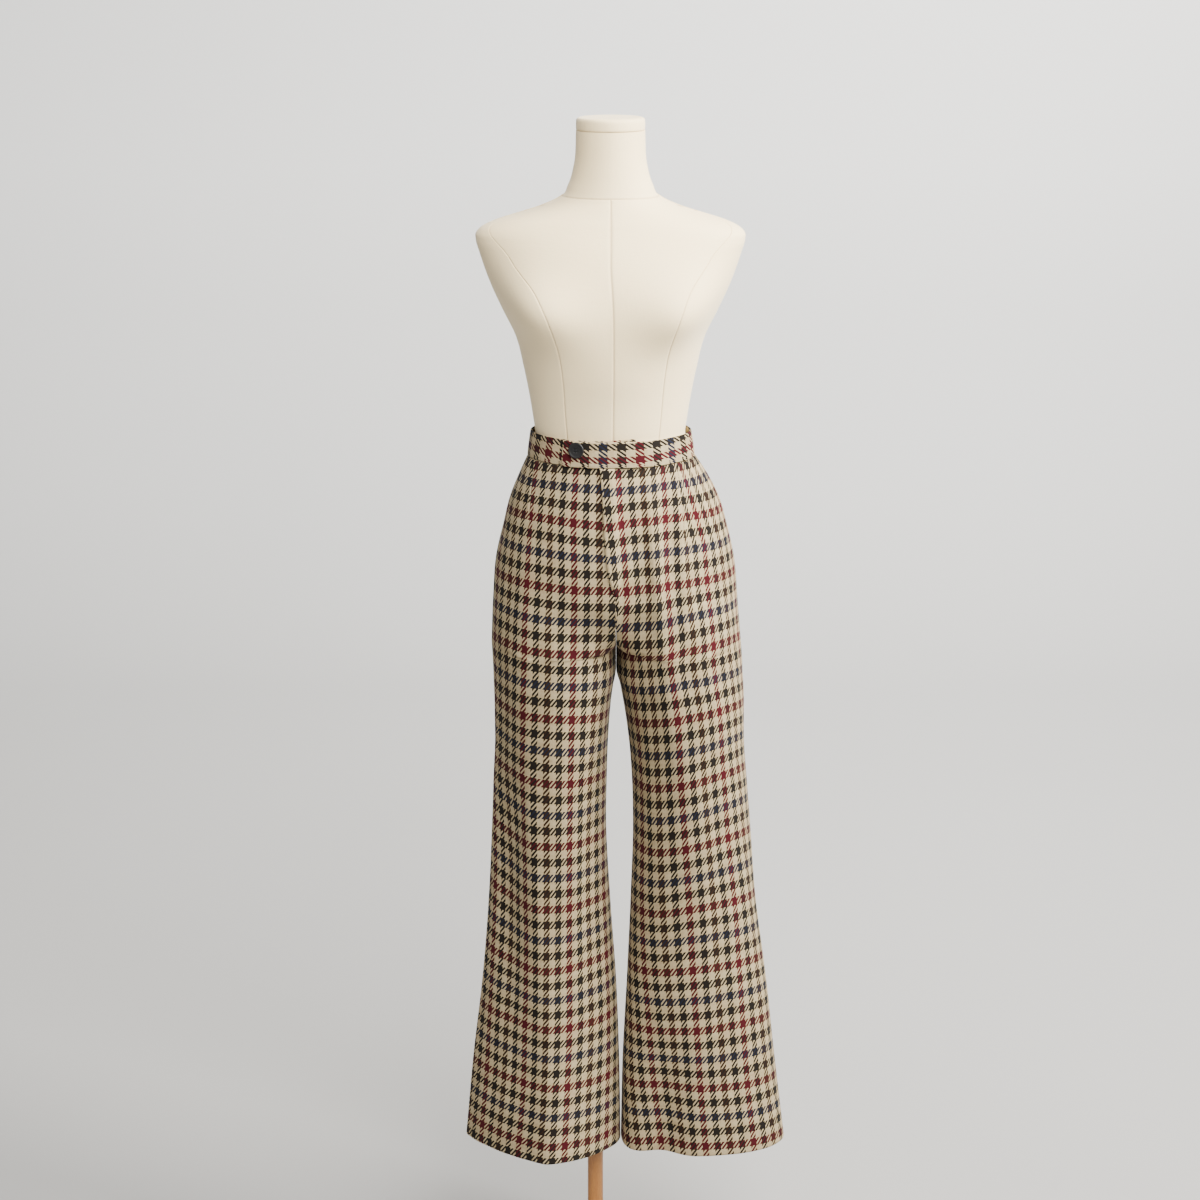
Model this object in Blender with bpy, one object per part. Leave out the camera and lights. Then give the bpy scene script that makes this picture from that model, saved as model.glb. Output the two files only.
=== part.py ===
"""Wide-leg trousers buttoned on a limbless dress form, which stands on a wooden pole and a round base.

Metres, +Z up. The origin is the centre of the base's underside, on the floor. The garment's front faces -Y and the
wearer's left is at +X. Each trouser half is one surface wrapped round a hip and a leg, then cut into a front and a
back panel along the side seam and the inseam.
"""

import math

import bpy
import numpy as np

MM = 0.001

# Cloth and seams
CLOTH_WALL = 2.0 * MM
SEAM_GAP = 0.3 * MM
COLUMNS_PER_PANEL = 12

# Heights of the trousers
WAIST_SEAM = 1310 * MM
BAND_TOP = 1345.3 * MM
CROTCH = 1039 * MM
HEM = 249 * MM
FRONT_CROTCH_CURVE = 80 * MM
BACK_CROTCH_CURVE = 100 * MM
THIGH_BLEND = 130 * MM

# Trouser hips, in millimetres: a half ellipse in front and another behind, joined at the side
HIP_COLUMNS = ("height", "centre_x", "half_width", "front_y", "side_y", "back_y")
HIPS = (
    (1310, 22.5, 115.5, -85.5, -1, 83.5),
    (1280, 25.5, 132.0, -93.0, 0, 96.0),
    (1250, 27.0, 145.5, -99.0, 1, 107.0),
    (1210, 28.0, 156.5, -105.0, 2, 118.5),
    (1165, 28.0, 167.0, -109.0, 2, 125.0),
    (1106, 28.5, 172.5, -109.0, 0, 123.0),
    (1039, 30.0, 177.0, -106.0, -3, 114.0),
)

# Trouser legs, in millimetres. The powers say how square each front quarter of the section is: 2 is an ellipse,
# below 2 it runs straighter to a pressed crease, and above 2 it is flatter and boxy
LEG_COLUMNS = (
    "height", "inner_x", "outer_x", "crease_x", "front_y", "back_y", "side_y", "inseam_y", "outer_power",
    "inner_power",
)
RIGHT_LEG = (
    (1039, 30, -147, -55, -98, 106, -3, 8, 1.8, 2.4),
    (1000, 29, -145, -57, -97, 105, -5, 8, 1.75, 2.6),
    (956, 26, -144, -58, -95, 102, -8, 6, 1.65, 2.6),
    (895, 21, -144, -59, -91, 97, -6, 4, 1.6, 2.4),
    (834, 18, -147, -60, -86, 91, -3, 2, 1.5, 2.1),
    (770, 16, -150, -60, -82, 86, 0, 0, 1.45, 2.0),
    (644, 22, -157, -61, -76, 76, 2, 0, 1.45, 1.9),
    (515, 31, -168, -64, -77, 72, 2, -4, 1.4, 1.8),
    (382, 36, -184, -68, -83, 70, 2, -8, 1.3, 1.7),
    (249, 38, -197, -73, -90, 69, 0, -12, 1.25, 1.6),
)
LEFT_LEG = (
    (1039, 30, 207, 118, -98, 106, -3, 8, 1.9, 2.2),
    (1000, 31, 210, 120, -97, 105, -3, 8, 1.9, 2.0),
    (956, 33, 213, 123, -95, 102, -2, 6, 1.9, 1.9),
    (895, 43, 214, 127, -91, 97, -1, 4, 1.9, 1.8),
    (834, 51, 219, 130, -86, 91, 0, 2, 1.9, 1.8),
    (770, 55, 225, 132, -82, 86, 0, 0, 1.9, 1.8),
    (644, 52, 236, 134, -75, 76, 0, 0, 1.9, 1.9),
    (515, 47, 254, 140, -71, 69, 0, 0, 1.9, 2.2),
    (382, 41, 270, 150, -68, 64, 0, 0, 2.0, 2.6),
    (249, 38.6, 287, 163, -65, 60, 0, 0, 2.1, 3.2),
)
BACK_CREASE_SHARE = 0.5
BACK_POWER = 1.9

# Largest folds, in millimetres: troughs (or, with a negative depth, ridges) that run down the cloth
FOLD_COLUMNS = ("leg", "face", "foot_x", "lean", "top", "foot", "width", "depth")
FOLDS = (
    (1, -1, 98, 0.03, 520, 249, 27, 15),
    (1, -1, 150, 0.03, 560, 249, 20, -3),
    (1, 1, 120, 0.02, 900, 249, 24, 7),
    (1, 1, 205, -0.06, 760, 249, 22, -5),
    (-1, 1, -60, 0.05, 820, 249, 24, 8),
    (-1, 1, -135, 0.10, 1000, 300, 22, -5),
)

# Heights of the cloth's rings: even down the hips and legs, closer round the crotch curve
HIP_RINGS = 6
CROTCH_TURNS = (25, 45, 60, 74, 90)
LEG_RINGS = (1022, 1000, 975, 940, 895, 840, 780, 715, 644, 575, 505, 435, 370, 308, 249)

# Fly: the wearer's-left front laps over the other
FLY_LAP = 16 * MM
FLY_FALL = 180 * MM
FLY_POWER = 4
LAP_SHARES = (1.0, 0.5)

# Waistband, one strip that starts at the underlap and ends at the tab. It leans in to the form, so it is narrower at
# its top edge than at the seam
BAND_WALL = 2.8 * MM
BAND_HALF_WIDTHS = (116 * MM, 107.6 * MM)
BAND_FRONTS = (86 * MM, 83 * MM)
BAND_BACKS = (84 * MM, 81 * MM)
BAND_CENTRES_X = (22.5 * MM, 21.7 * MM)
BAND_LAYER_GAP = 0.4 * MM
UNDERLAP_END_X = 57 * MM
UNDERLAP_RISE = 2 * MM
TAB_END_X = -45 * MM
BAND_STEPS = 84
LIFT_FROM = 305
LIFT_OVER = 30

# Button on the tab
BUTTON_X = -25 * MM
BUTTON_Z = 1333 * MM
BUTTON_COLUMNS = ("radius", "height")
BUTTON_PROFILE = ((8.5, 0), (10.4, 0.4), (11, 1.2), (11, 2.4), (10.2, 3.2), (8.8, 3.3), (7.4, 2.5))

# Dress form: below the waist it fills the cloth up to a clearance, above it follows its own outline
FORM_CENTRE_X = 21 * MM
FORM_BOTTOM = 1100 * MM
FORM_LOW_RINGS = (1100, 1103, 1114)
CLEARANCE_COLUMNS = ("height", "clearance")
CLEARANCES = ((1100, 17), (1103, 11), (1114, 8), (1139, 4.5), (1165, 1.1), (1198, 1.1), (1230, 2.0), (1310, 7))
FORM_COLUMNS = ("height", "half_width", "front_y", "back_y")
FORM = (
    (1345, 103.5, -78, 76),
    (1394, 111.0, -86, 79),
    (1433, 118.5, -95, 83),
    (1479, 130.0, -102, 88),
    (1512, 146.0, -104, 92),
    (1552, 164.0, -100, 96),
    (1590, 177.0, -89, 96),
    (1606, 181.5, -82, 92),
    (1616, 181.0, -77, 88),
    (1624, 173.0, -73, 83),
    (1632, 156.0, -69, 78),
    (1641, 127.0, -64, 72),
    (1651, 94.0, -59, 66),
    (1664, 66.0, -53, 58),
    (1679, 57.0, -50, 53),
    (1706, 49.0, -47, 48),
    (1750.7, 46.0, -45, 45),
)
BUST_HEIGHT = 1520 * MM
BUST_REACH = 48 * MM
BUST_TURN = 39
BUST_SPREAD = 23
BUST_DEPTH = 27 * MM
FORM_POINTS = 48

# Neck cap, pole and base
CAP_COLUMNS = ("radius", "height")
CAP_PROFILE = ((44.5, 1751), (45.6, 1753.5), (46, 1757), (46, 1761.5), (44.6, 1765), (41, 1767.3), (36, 1768))
POLE_RADIUS = 11.75 * MM
POLE_CHAMFER = 1.2 * MM
POLE_INTO_FORM = 60 * MM
POLE_INTO_BASE = 15 * MM
BASE_RADIUS = 160 * MM
BASE_HEIGHT = 25 * MM
BASE_EDGE = 5 * MM


def clear_scene():
    for obj in list(bpy.data.objects):
        bpy.data.objects.remove(obj, do_unlink=True)


def read(table, columns, name, height):
    """One column of a table at a height: a cubic between rows, with each row's slope taken from its neighbours."""
    rows = np.array(sorted(table))
    levels = rows[:, columns.index("height")] * MM
    values = rows[:, columns.index(name)] * MM
    slopes = np.gradient(values, levels)
    height = np.clip(height, levels[0], levels[-1])
    row = np.clip(np.searchsorted(levels, height, side="right") - 1, 0, len(levels) - 2)
    span = levels[row + 1] - levels[row]
    t = (height - levels[row]) / span
    return (
        values[row] * (1 + 2 * t) * (1 - t) ** 2
        + values[row + 1] * t * t * (3 - 2 * t)
        + slopes[row] * span * t * (1 - t) ** 2
        - slopes[row + 1] * span * t * t * (1 - t)
    )


def smooth_step(t):
    t = np.clip(t, 0, 1)
    return t * t * (3 - 2 * t)


def hip(name, height):
    return read(HIPS, HIP_COLUMNS, name, height)


def leg(side, name, height):
    table = LEFT_LEG if side > 0 else RIGHT_LEG
    value = read(table, LEG_COLUMNS, name, height)
    return value / MM if name.endswith("power") else value


def hip_depth(front_half, x, height):
    """How far the hip's ellipse lies in front of, or behind, its side at x."""
    side_y = hip("side_y", height)
    depth = np.where(front_half, hip("front_y", height), hip("back_y", height)) - side_y
    away = np.clip((x - hip("centre_x", height)) / hip("half_width", height), -1, 1)
    return depth * np.sqrt(1 - away**2)


def crotch_shares(height, curve):
    """How far a ring's centre has turned under, a quarter ellipse that makes the crotch curve round in side view,
    and how far the cloth beside it has become a leg, which leads it so that no ledge forms."""
    rise = np.clip((height - CROTCH) / curve, 0, 1)
    return 1 - np.sqrt(1 - (1 - rise) ** 2), 1 - rise**2


def section(side, u, height):
    """One ring of a trouser half: from the centre front or inseam (u = 0) over the crease (0.25), the side seam (0.5)
    and the back (0.75) to the centre back or inseam (1).

    Each quarter runs from its crease to its edge. On a leg it is |x/a|^p + |y/b|^p = 1 about its own centre. On the
    hips it is its stretch of one wide ellipse. Between them, the inner quarters turn under along the crotch curve.
    """
    above = height > CROTCH
    front_half = u < 0.5
    inner_half = (u < 0.25) | (u > 0.75)
    centre_x = hip("centre_x", height)
    inner_x = np.where(above, centre_x, leg(side, "inner_x", height))
    hip_edge = centre_x + side * hip("half_width", height)
    outer_x = np.where(above, hip_edge, leg(side, "outer_x", height))
    back_crease = inner_x + (outer_x - inner_x) * BACK_CREASE_SHARE
    crease_x = np.where(front_half, leg(side, "crease_x", height), back_crease)
    edge_x = np.where(inner_half, inner_x, outer_x)
    away = np.abs(np.cos(2 * np.pi * u))
    x = crease_x + (edge_x - crease_x) * away

    curve = np.where(front_half, FRONT_CROTCH_CURVE, BACK_CROTCH_CURVE)
    under, inward = crotch_shares(height, curve)
    outward = smooth_step((CROTCH + THIGH_BLEND - height) / THIGH_BLEND)
    share = np.where(inner_half, inward, outward)

    side_y = np.where(above, hip("side_y", height), leg(side, "side_y", height))
    at_crease = hip_depth(front_half, crease_x, height)
    at_edge = hip_depth(front_half, edge_x, height)
    hip_form = (hip_depth(front_half, x, height) - at_edge) / (at_crease - at_edge)
    power = np.where(inner_half, leg(side, "inner_power", height), leg(side, "outer_power", height))
    power = np.where(front_half, power, BACK_POWER)
    leg_form = (1 - away**power) ** (1 / power)

    leg_top = np.where(front_half, leg(side, "front_y", height), leg(side, "back_y", height))
    top_y = (1 - outward) * (side_y + at_crease) + outward * leg_top
    inner_y = (1 - under) * (side_y + at_edge) + under * leg(side, "inseam_y", height)
    edge_y = np.where(inner_half, inner_y, side_y)
    return x, edge_y + (top_y - edge_y) * ((1 - share) * hip_form + share * leg_form)


def fold_depth(side, u, x, height):
    """Sum of the folds: a bell across the fold, faded in from its top, and nothing at the seams."""
    depth = np.zeros(np.broadcast(u, x, height).shape)
    face = np.where(u < 0.5, -1, 1)
    for fold in FOLDS:
        row = dict(zip(FOLD_COLUMNS, fold))
        if row["leg"] != side:
            continue
        middle = row["foot_x"] * MM + row["lean"] * (height - row["foot"] * MM)
        bell = np.exp(-(((x - middle) / (row["width"] * MM)) ** 2))
        fade = smooth_step((row["top"] * MM - height) / ((row["top"] - row["foot"]) * MM))
        depth = depth + np.where(face == row["face"], row["depth"] * MM * bell * fade, 0)
    return depth * np.sqrt(np.abs(np.sin(2 * np.pi * u))) * -face


def trouser_half(side, u, height):
    """Points of one half of the trousers, as an array of (ring, column, xyz)."""
    u, height = np.broadcast_arrays(u[None, :], height[:, None])
    x, y = section(side, u, height)
    return np.stack([x, y + fold_depth(side, u, x, height), height], axis=-1)


def ring_heights():
    hips = np.linspace(WAIST_SEAM - SEAM_GAP, CROTCH + BACK_CROTCH_CURVE, HIP_RINGS + 1)
    turns = np.radians(CROTCH_TURNS)
    crotch = CROTCH + BACK_CROTCH_CURVE * (1 - np.sin(turns))
    return np.concatenate([hips, crotch, np.array(LEG_RINGS) * MM])


def grid_normals(points, outward):
    """Unit normals of a grid of points, from the differences to its neighbours, turned to face outward."""
    across = np.gradient(points, axis=1)
    down = np.gradient(points, axis=0)
    normals = np.cross(across, down)
    normals /= np.linalg.norm(normals, axis=-1, keepdims=True)
    middle = points.shape[1] // 2
    facing = np.sign(np.sum(normals[:, middle] * outward, axis=-1).mean())
    return normals * facing


def seam_normals(side, normals, heights):
    """Keeps the wall on its own side of the centre seam, and makes both edges of the inseam agree."""
    above = heights >= CROTCH
    for column in (0, -1):
        towards_centre = np.maximum(0, -side * normals[above, column, 0])
        normals[above, column, 0] = -side * towards_centre
    below = heights < CROTCH + SEAM_GAP
    joined = normals[below, 0] + normals[below, -1]
    normals[below, 0] = normals[below, -1] = joined
    return normals / np.linalg.norm(normals, axis=-1, keepdims=True)


def seam_edges(side, points, heights):
    """Moves the centre edges off the centre plane, and the inseam's two edges apart, by half a seam gap each."""
    above = heights >= CROTCH
    centre = hip("centre_x", heights[above])
    for column, way in ((0, -1), (-1, 1)):
        points[above, column, 0] = centre + side * SEAM_GAP / 2
        points[~above, column, 1] += way * SEAM_GAP / 2
    crotch = heights == heights[above][-1]
    points[crotch, 0, 1] -= SEAM_GAP / 2
    points[crotch, -1, 1] += SEAM_GAP / 2
    return points


def panel_edge_at_side(points, way):
    """The panel's side-seam column, drawn back from the seam along the cloth by half a seam gap."""
    edge = points[:, -1] if way < 0 else points[:, 0]
    inside = points[:, -2] if way < 0 else points[:, 1]
    direction = inside - edge
    direction /= np.linalg.norm(direction, axis=-1, keepdims=True)
    return edge + direction * SEAM_GAP / 2


def cloth_wall(name, points, normals, present, material):
    """A closed wall of cloth: the grid's points, the same points moved inward, and a rim round the edge."""
    rings, columns = present.shape
    index = np.arange(rings * columns).reshape(rings, columns)
    cells = [
        (index[i, j], index[i + 1, j], index[i + 1, j + 1], index[i, j + 1])
        for i in range(rings - 1)
        for j in range(columns - 1)
        if present[i, j] and present[i, j + 1] and present[i + 1, j] and present[i + 1, j + 1]
    ]
    outer = points.reshape(-1, 3)
    inner = outer - CLOTH_WALL * normals.reshape(-1, 3)
    count = len(outer)
    edges = {}
    for cell in cells:
        for a, b in zip(cell, cell[1:] + cell[:1]):
            edges[(a, b)] = (b, a) in edges or edges.get((a, b), False)
    rim = [(a, b) for a, b in edges if (b, a) not in edges]
    faces = list(cells)
    faces += [tuple(corner + count for corner in reversed(cell)) for cell in cells]
    faces += [(b, a, a + count, b + count) for a, b in rim]
    return add_mesh(name, np.concatenate([outer, inner]), faces, material)


def loft(name, rings, material):
    """A closed body through a list of closed rings of points, with a flat face on the first and the last."""
    rings = np.array(rings)
    steps, around = rings.shape[:2]
    index = np.arange(steps * around).reshape(steps, around)
    following = np.roll(index, -1, axis=1)
    faces = [tuple(index[0, ::-1]), tuple(index[-1])]
    for i in range(steps - 1):
        for j in range(around):
            faces.append((index[i, j], following[i, j], following[i + 1, j], index[i + 1, j]))
    return add_mesh(name, rings.reshape(-1, 3), faces, material)


def add_mesh(name, points, faces, material):
    """One object from points and faces, without unused points, with outward faces and smooth round sides."""
    used = np.unique(np.concatenate([np.asarray(face) for face in faces]))
    place = {int(old): new for new, old in enumerate(used)}
    mesh = bpy.data.meshes.new(name)
    mesh.from_pydata(points[used].tolist(), [], [[place[int(corner)] for corner in face] for face in faces])
    mesh.materials.append(material)
    mesh.shade_smooth()
    mesh.set_sharp_from_angle(angle=math.radians(40))
    obj = bpy.data.objects.new(name, mesh)
    bpy.context.scene.collection.objects.link(obj)
    if signed_volume(mesh) < 0:
        mesh.flip_normals()
    return obj


def signed_volume(mesh):
    mesh.calc_loop_triangles()
    corners = np.array([[mesh.vertices[v].co for v in face.vertices] for face in mesh.loop_triangles])
    return np.einsum("ij,ij->i", corners[:, 0], np.cross(corners[:, 1], corners[:, 2])).sum() / 6


def finish(name, colour, roughness):
    material = bpy.data.materials.new(name)
    material.use_nodes = True
    shader = material.node_tree.nodes["Principled BSDF"]
    shader.inputs["Base Color"].default_value = (*colour, 1)
    shader.inputs["Roughness"].default_value = roughness
    shader.inputs["Metallic"].default_value = 0
    return material


def circle(centre_x, radius, height, points):
    turn = np.linspace(0, 2 * np.pi, points, endpoint=False)
    return np.stack(
        [centre_x + radius * np.sin(turn), -radius * np.cos(turn), np.full(points, height)], axis=-1
    )


def lap_columns(points, heights):
    """The fly: columns past the centre on the wearer's-left front, on the other front's surface, one wall out."""
    lift = CLOTH_WALL + SEAM_GAP
    centre = hip("centre_x", heights)
    half_width = hip("half_width", heights)
    side_y = hip("side_y", heights)
    depth = side_y - hip("front_y", heights)
    width = FLY_LAP * (1 - np.minimum(1, (WAIST_SEAM - heights) / FLY_FALL) ** FLY_POWER)
    columns = []
    for share in LAP_SHARES:
        turn = np.arcsin(width * share / half_width)
        x = centre - half_width * np.sin(turn)
        y = side_y - depth * np.cos(turn) - lift
        columns.append(np.stack([x, y, heights], axis=-1))
    points[heights >= CROTCH + BACK_CROTCH_CURVE - SEAM_GAP, 0, 1] -= lift
    return np.concatenate([np.stack(columns, axis=1), points], axis=1)


def make_trousers():
    heights = ring_heights()
    u = np.linspace(0, 1, 2 * COLUMNS_PER_PANEL + 1)
    tweed = {
        "front_left": finish("front_left_tweed", (0.42, 0.36, 0.28), 0.9),
        "front_right": finish("front_right_tweed", (0.40, 0.34, 0.27), 0.9),
        "back_left": finish("back_left_tweed", (0.36, 0.30, 0.24), 0.9),
        "back_right": finish("back_right_tweed", (0.34, 0.29, 0.23), 0.9),
    }
    for side, label in ((1, "left"), (-1, "right")):
        points = trouser_half(side, u, heights)
        normals = seam_normals(side, grid_normals(points, np.array([side, 0, 0])), heights)
        points = seam_edges(side, points, heights)
        cut = COLUMNS_PER_PANEL
        front, back = points[:, : cut + 1].copy(), points[:, cut:].copy()
        front_edge, back_edge = panel_edge_at_side(front, -1), panel_edge_at_side(back, 1)
        front[:, -1], back[:, 0] = front_edge, back_edge
        front_normals = normals[:, : cut + 1]
        present = np.ones(front.shape[:2], bool)
        if side > 0:
            front = lap_columns(front, heights)
            extra = np.repeat(front_normals[:, :1], len(LAP_SHARES), axis=1)
            front_normals = np.concatenate([extra, front_normals], axis=1)
            above_fly_end = heights >= CROTCH + BACK_CROTCH_CURVE - SEAM_GAP
            lap_present = np.repeat(above_fly_end[:, None], len(LAP_SHARES), axis=1)
            present = np.concatenate([lap_present, present], axis=1)
        name = "front_" + label
        cloth_wall(name, front, front_normals, present, tweed[name])
        name = "back_" + label
        cloth_wall(name, back, normals[:, cut:], np.ones(back.shape[:2], bool), tweed[name])


def band_turn(x):
    return math.degrees(math.asin((x - BAND_CENTRES_X[0]) / BAND_HALF_WIDTHS[0]))


def band_point(turn, out, rise):
    """A point of the waistband at a turn from the centre front and a share of its height, moved out from the body by
    a distance."""
    turn = math.radians(turn)
    half_width = np.interp(rise, (0, 1), BAND_HALF_WIDTHS)
    depth = np.interp(rise, (0, 1), BAND_FRONTS if math.cos(turn) > 0 else BAND_BACKS)
    normal = np.array([math.sin(turn) / half_width, -math.cos(turn) / depth])
    normal /= np.linalg.norm(normal)
    centre_x = np.interp(rise, (0, 1), BAND_CENTRES_X)
    place = np.array([centre_x + half_width * math.sin(turn), -depth * math.cos(turn)])
    return place + out * normal, normal


def make_waistband():
    start = band_turn(UNDERLAP_END_X)
    end = band_turn(TAB_END_X) - 360
    rings = []
    for turn in np.linspace(start, end, BAND_STEPS + 1):
        lift = (BAND_WALL + BAND_LAYER_GAP) * smooth_step((-turn - LIFT_FROM) / LIFT_OVER)
        top = BAND_TOP + UNDERLAP_RISE * smooth_step((turn + start) / (2 * start))
        low_outer, low_inner, top_inner, top_outer = (
            band_point(turn, out, rise)[0]
            for out, rise in ((lift, 0), (lift - BAND_WALL, 0), (lift - BAND_WALL, 1), (lift, 1))
        )
        rings.append([(*low_inner, WAIST_SEAM), (*low_outer, WAIST_SEAM), (*top_outer, top), (*top_inner, top)])
    loft("waistband", rings, finish("waistband_tweed", (0.38, 0.32, 0.25), 0.9))


def make_button():
    """A dished round button whose back lies on the tab."""
    turn = band_turn(BUTTON_X)
    out = BAND_WALL + BAND_LAYER_GAP + SEAM_GAP
    low, normal = band_point(turn, out, 0)
    top, _ = band_point(turn, out, 1)
    lean = np.dot(low - top, normal) / (BAND_TOP - WAIST_SEAM)
    place, normal = band_point(turn, out, (BUTTON_Z - WAIST_SEAM) / (BAND_TOP - WAIST_SEAM))
    rings = [circle(0, radius * MM, height * MM, 28) for radius, height in BUTTON_PROFILE]
    button = loft("button", rings, finish("button_plastic", (0.02, 0.02, 0.022), 0.3))
    button.location = (place[0], place[1], BUTTON_Z)
    button.rotation_euler = (math.pi / 2 - math.atan(lean), 0, math.atan2(normal[0], -normal[1]))


def form_ring(centre_x, half_width, front_y, side_y, back_y, height):
    """One ring of the form: an ellipse in front and another behind, with the bust's two soft rounds added."""
    turn = np.linspace(0, 2 * np.pi, FORM_POINTS, endpoint=False)
    x = centre_x + half_width * np.sin(turn)
    depth = np.where(np.cos(turn) > 0, side_y - front_y, back_y - side_y)
    y = side_y - depth * np.cos(turn)
    away = np.abs(np.degrees(np.arctan2(np.sin(turn), np.cos(turn)))) - BUST_TURN
    bust = BUST_DEPTH * np.exp(-((away / BUST_SPREAD) ** 2)) * np.exp(-(((height - BUST_HEIGHT) / BUST_REACH) ** 2))
    return np.stack([x + bust * 0.3 * np.sin(turn), y - bust, np.full_like(x, height)], axis=-1)


def make_form():
    socket = POLE_RADIUS + SEAM_GAP
    rings = [
        circle(0, socket, FORM_BOTTOM + POLE_INTO_FORM, FORM_POINTS),
        circle(0, socket, FORM_BOTTOM, FORM_POINTS),
    ]
    for height in np.concatenate([np.array(FORM_LOW_RINGS) * MM, np.sort(ring_heights()[: HIP_RINGS + 1])]):
        inset = CLOTH_WALL + read(CLEARANCES, CLEARANCE_COLUMNS, "clearance", height)
        rings.append(
            form_ring(
                hip("centre_x", height),
                hip("half_width", height) - inset,
                hip("front_y", height) + inset,
                hip("side_y", height),
                hip("back_y", height) - inset,
                height,
            )
        )
    for row in FORM:
        height, half_width, front_y, back_y = (value * MM for value in row)
        rings.append(form_ring(FORM_CENTRE_X, half_width, front_y, 0, back_y, height))
    loft("dress_form", rings, finish("form_cloth", (0.83, 0.77, 0.64), 0.85))


def make_neck_cap():
    rings = [circle(FORM_CENTRE_X, radius * MM, height * MM, FORM_POINTS) for radius, height in CAP_PROFILE]
    loft("neck_cap", rings, finish("cap_cloth", (0.80, 0.74, 0.60), 0.85))


def make_stand():
    wood = finish("pole_wood", (0.48, 0.24, 0.07), 0.45)
    bottom = BASE_HEIGHT - POLE_INTO_BASE + SEAM_GAP
    top = FORM_BOTTOM + POLE_INTO_FORM - SEAM_GAP
    slim = POLE_RADIUS - POLE_CHAMFER
    pole = ((slim, bottom), (POLE_RADIUS, bottom + POLE_CHAMFER), (POLE_RADIUS, top - POLE_CHAMFER), (slim, top))
    loft("stand_pole", [circle(0, radius, height, 24) for radius, height in pole], wood)
    socket = POLE_RADIUS + SEAM_GAP
    base = [(BASE_RADIUS - BASE_EDGE / 2, 0), (BASE_RADIUS, BASE_EDGE / 2), (BASE_RADIUS, BASE_HEIGHT - BASE_EDGE)]
    for turn in np.radians((30, 60, 90)):
        edge = BASE_RADIUS - BASE_EDGE * (1 - math.cos(turn))
        base.append((edge, BASE_HEIGHT - BASE_EDGE * (1 - math.sin(turn))))
    base += [(socket, BASE_HEIGHT), (socket, BASE_HEIGHT - POLE_INTO_BASE)]
    wood = finish("base_wood", (0.46, 0.23, 0.07), 0.45)
    loft("stand_base", [circle(0, radius, height, FORM_POINTS) for radius, height in base], wood)


clear_scene()
make_trousers()
make_waistband()
make_button()
make_form()
make_neck_cap()
make_stand()
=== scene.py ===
"""Wide-leg trousers of checked tweed, buttoned on a dress form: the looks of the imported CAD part.

Metres, +Z up. The garment's front faces -Y and the wearer's left is at +X, as in the part's source.
"""

import math

import bmesh
import bpy
import numpy as np
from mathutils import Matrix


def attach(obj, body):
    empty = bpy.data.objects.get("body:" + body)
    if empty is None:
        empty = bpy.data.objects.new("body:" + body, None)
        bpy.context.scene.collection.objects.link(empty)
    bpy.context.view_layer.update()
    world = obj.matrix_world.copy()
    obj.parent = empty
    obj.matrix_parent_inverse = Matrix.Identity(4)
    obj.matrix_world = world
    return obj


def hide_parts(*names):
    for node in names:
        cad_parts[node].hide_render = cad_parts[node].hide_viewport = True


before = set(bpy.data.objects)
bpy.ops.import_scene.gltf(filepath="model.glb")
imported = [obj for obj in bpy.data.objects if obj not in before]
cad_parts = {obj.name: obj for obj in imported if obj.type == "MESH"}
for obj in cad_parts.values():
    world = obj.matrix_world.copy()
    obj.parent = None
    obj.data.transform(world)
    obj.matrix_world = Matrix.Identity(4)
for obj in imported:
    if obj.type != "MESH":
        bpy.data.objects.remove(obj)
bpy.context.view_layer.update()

MM = 0.001


# Studio. The camera stands 3 m in front and 2 m up and looks down by 16.7 degrees, as the photo was taken.
# The floor runs up into a pale wall behind. Soft lights hang high in front, at the right like a window and
# over the wall, and a weak one fills from the left.


def make_mesh(name, points, quads, uv=None):
    """Puts points (n, 3), four-cornered faces (m, 4) and each point's place on the flat cloth (n, 2) in a
    new object."""
    mesh = bpy.data.meshes.new(name)
    mesh.vertices.add(len(points))
    mesh.vertices.foreach_set("co", np.ascontiguousarray(points, np.float32).ravel())
    mesh.loops.add(quads.size)
    mesh.loops.foreach_set("vertex_index", quads.astype(np.int32).ravel())
    mesh.polygons.add(len(quads))
    mesh.polygons.foreach_set("loop_start", np.arange(0, quads.size, 4, dtype=np.int32))
    mesh.update(calc_edges=True)
    if uv is not None:
        layer = mesh.uv_layers.new(name="cloth")
        layer.data.foreach_set("uv", uv[quads.ravel()].astype(np.float32).ravel())
    mesh.shade_smooth()
    obj = bpy.data.objects.new(name, mesh)
    bpy.context.scene.collection.objects.link(obj)
    return obj


def grid_quads(rows, columns, wraps=False):
    """Faces of a grid of points numbered row by row: each joins a point, its right neighbour and the two
    above them. If it wraps, the last column joins the first."""
    index = np.arange(rows * columns).reshape(rows, columns)
    left = index if wraps else index[:, :-1]
    right = np.roll(index, -1, axis=1) if wraps else index[:, 1:]
    return np.stack([left[:-1], right[:-1], right[1:], left[1:]], axis=-1).reshape(-1, 4)


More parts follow.
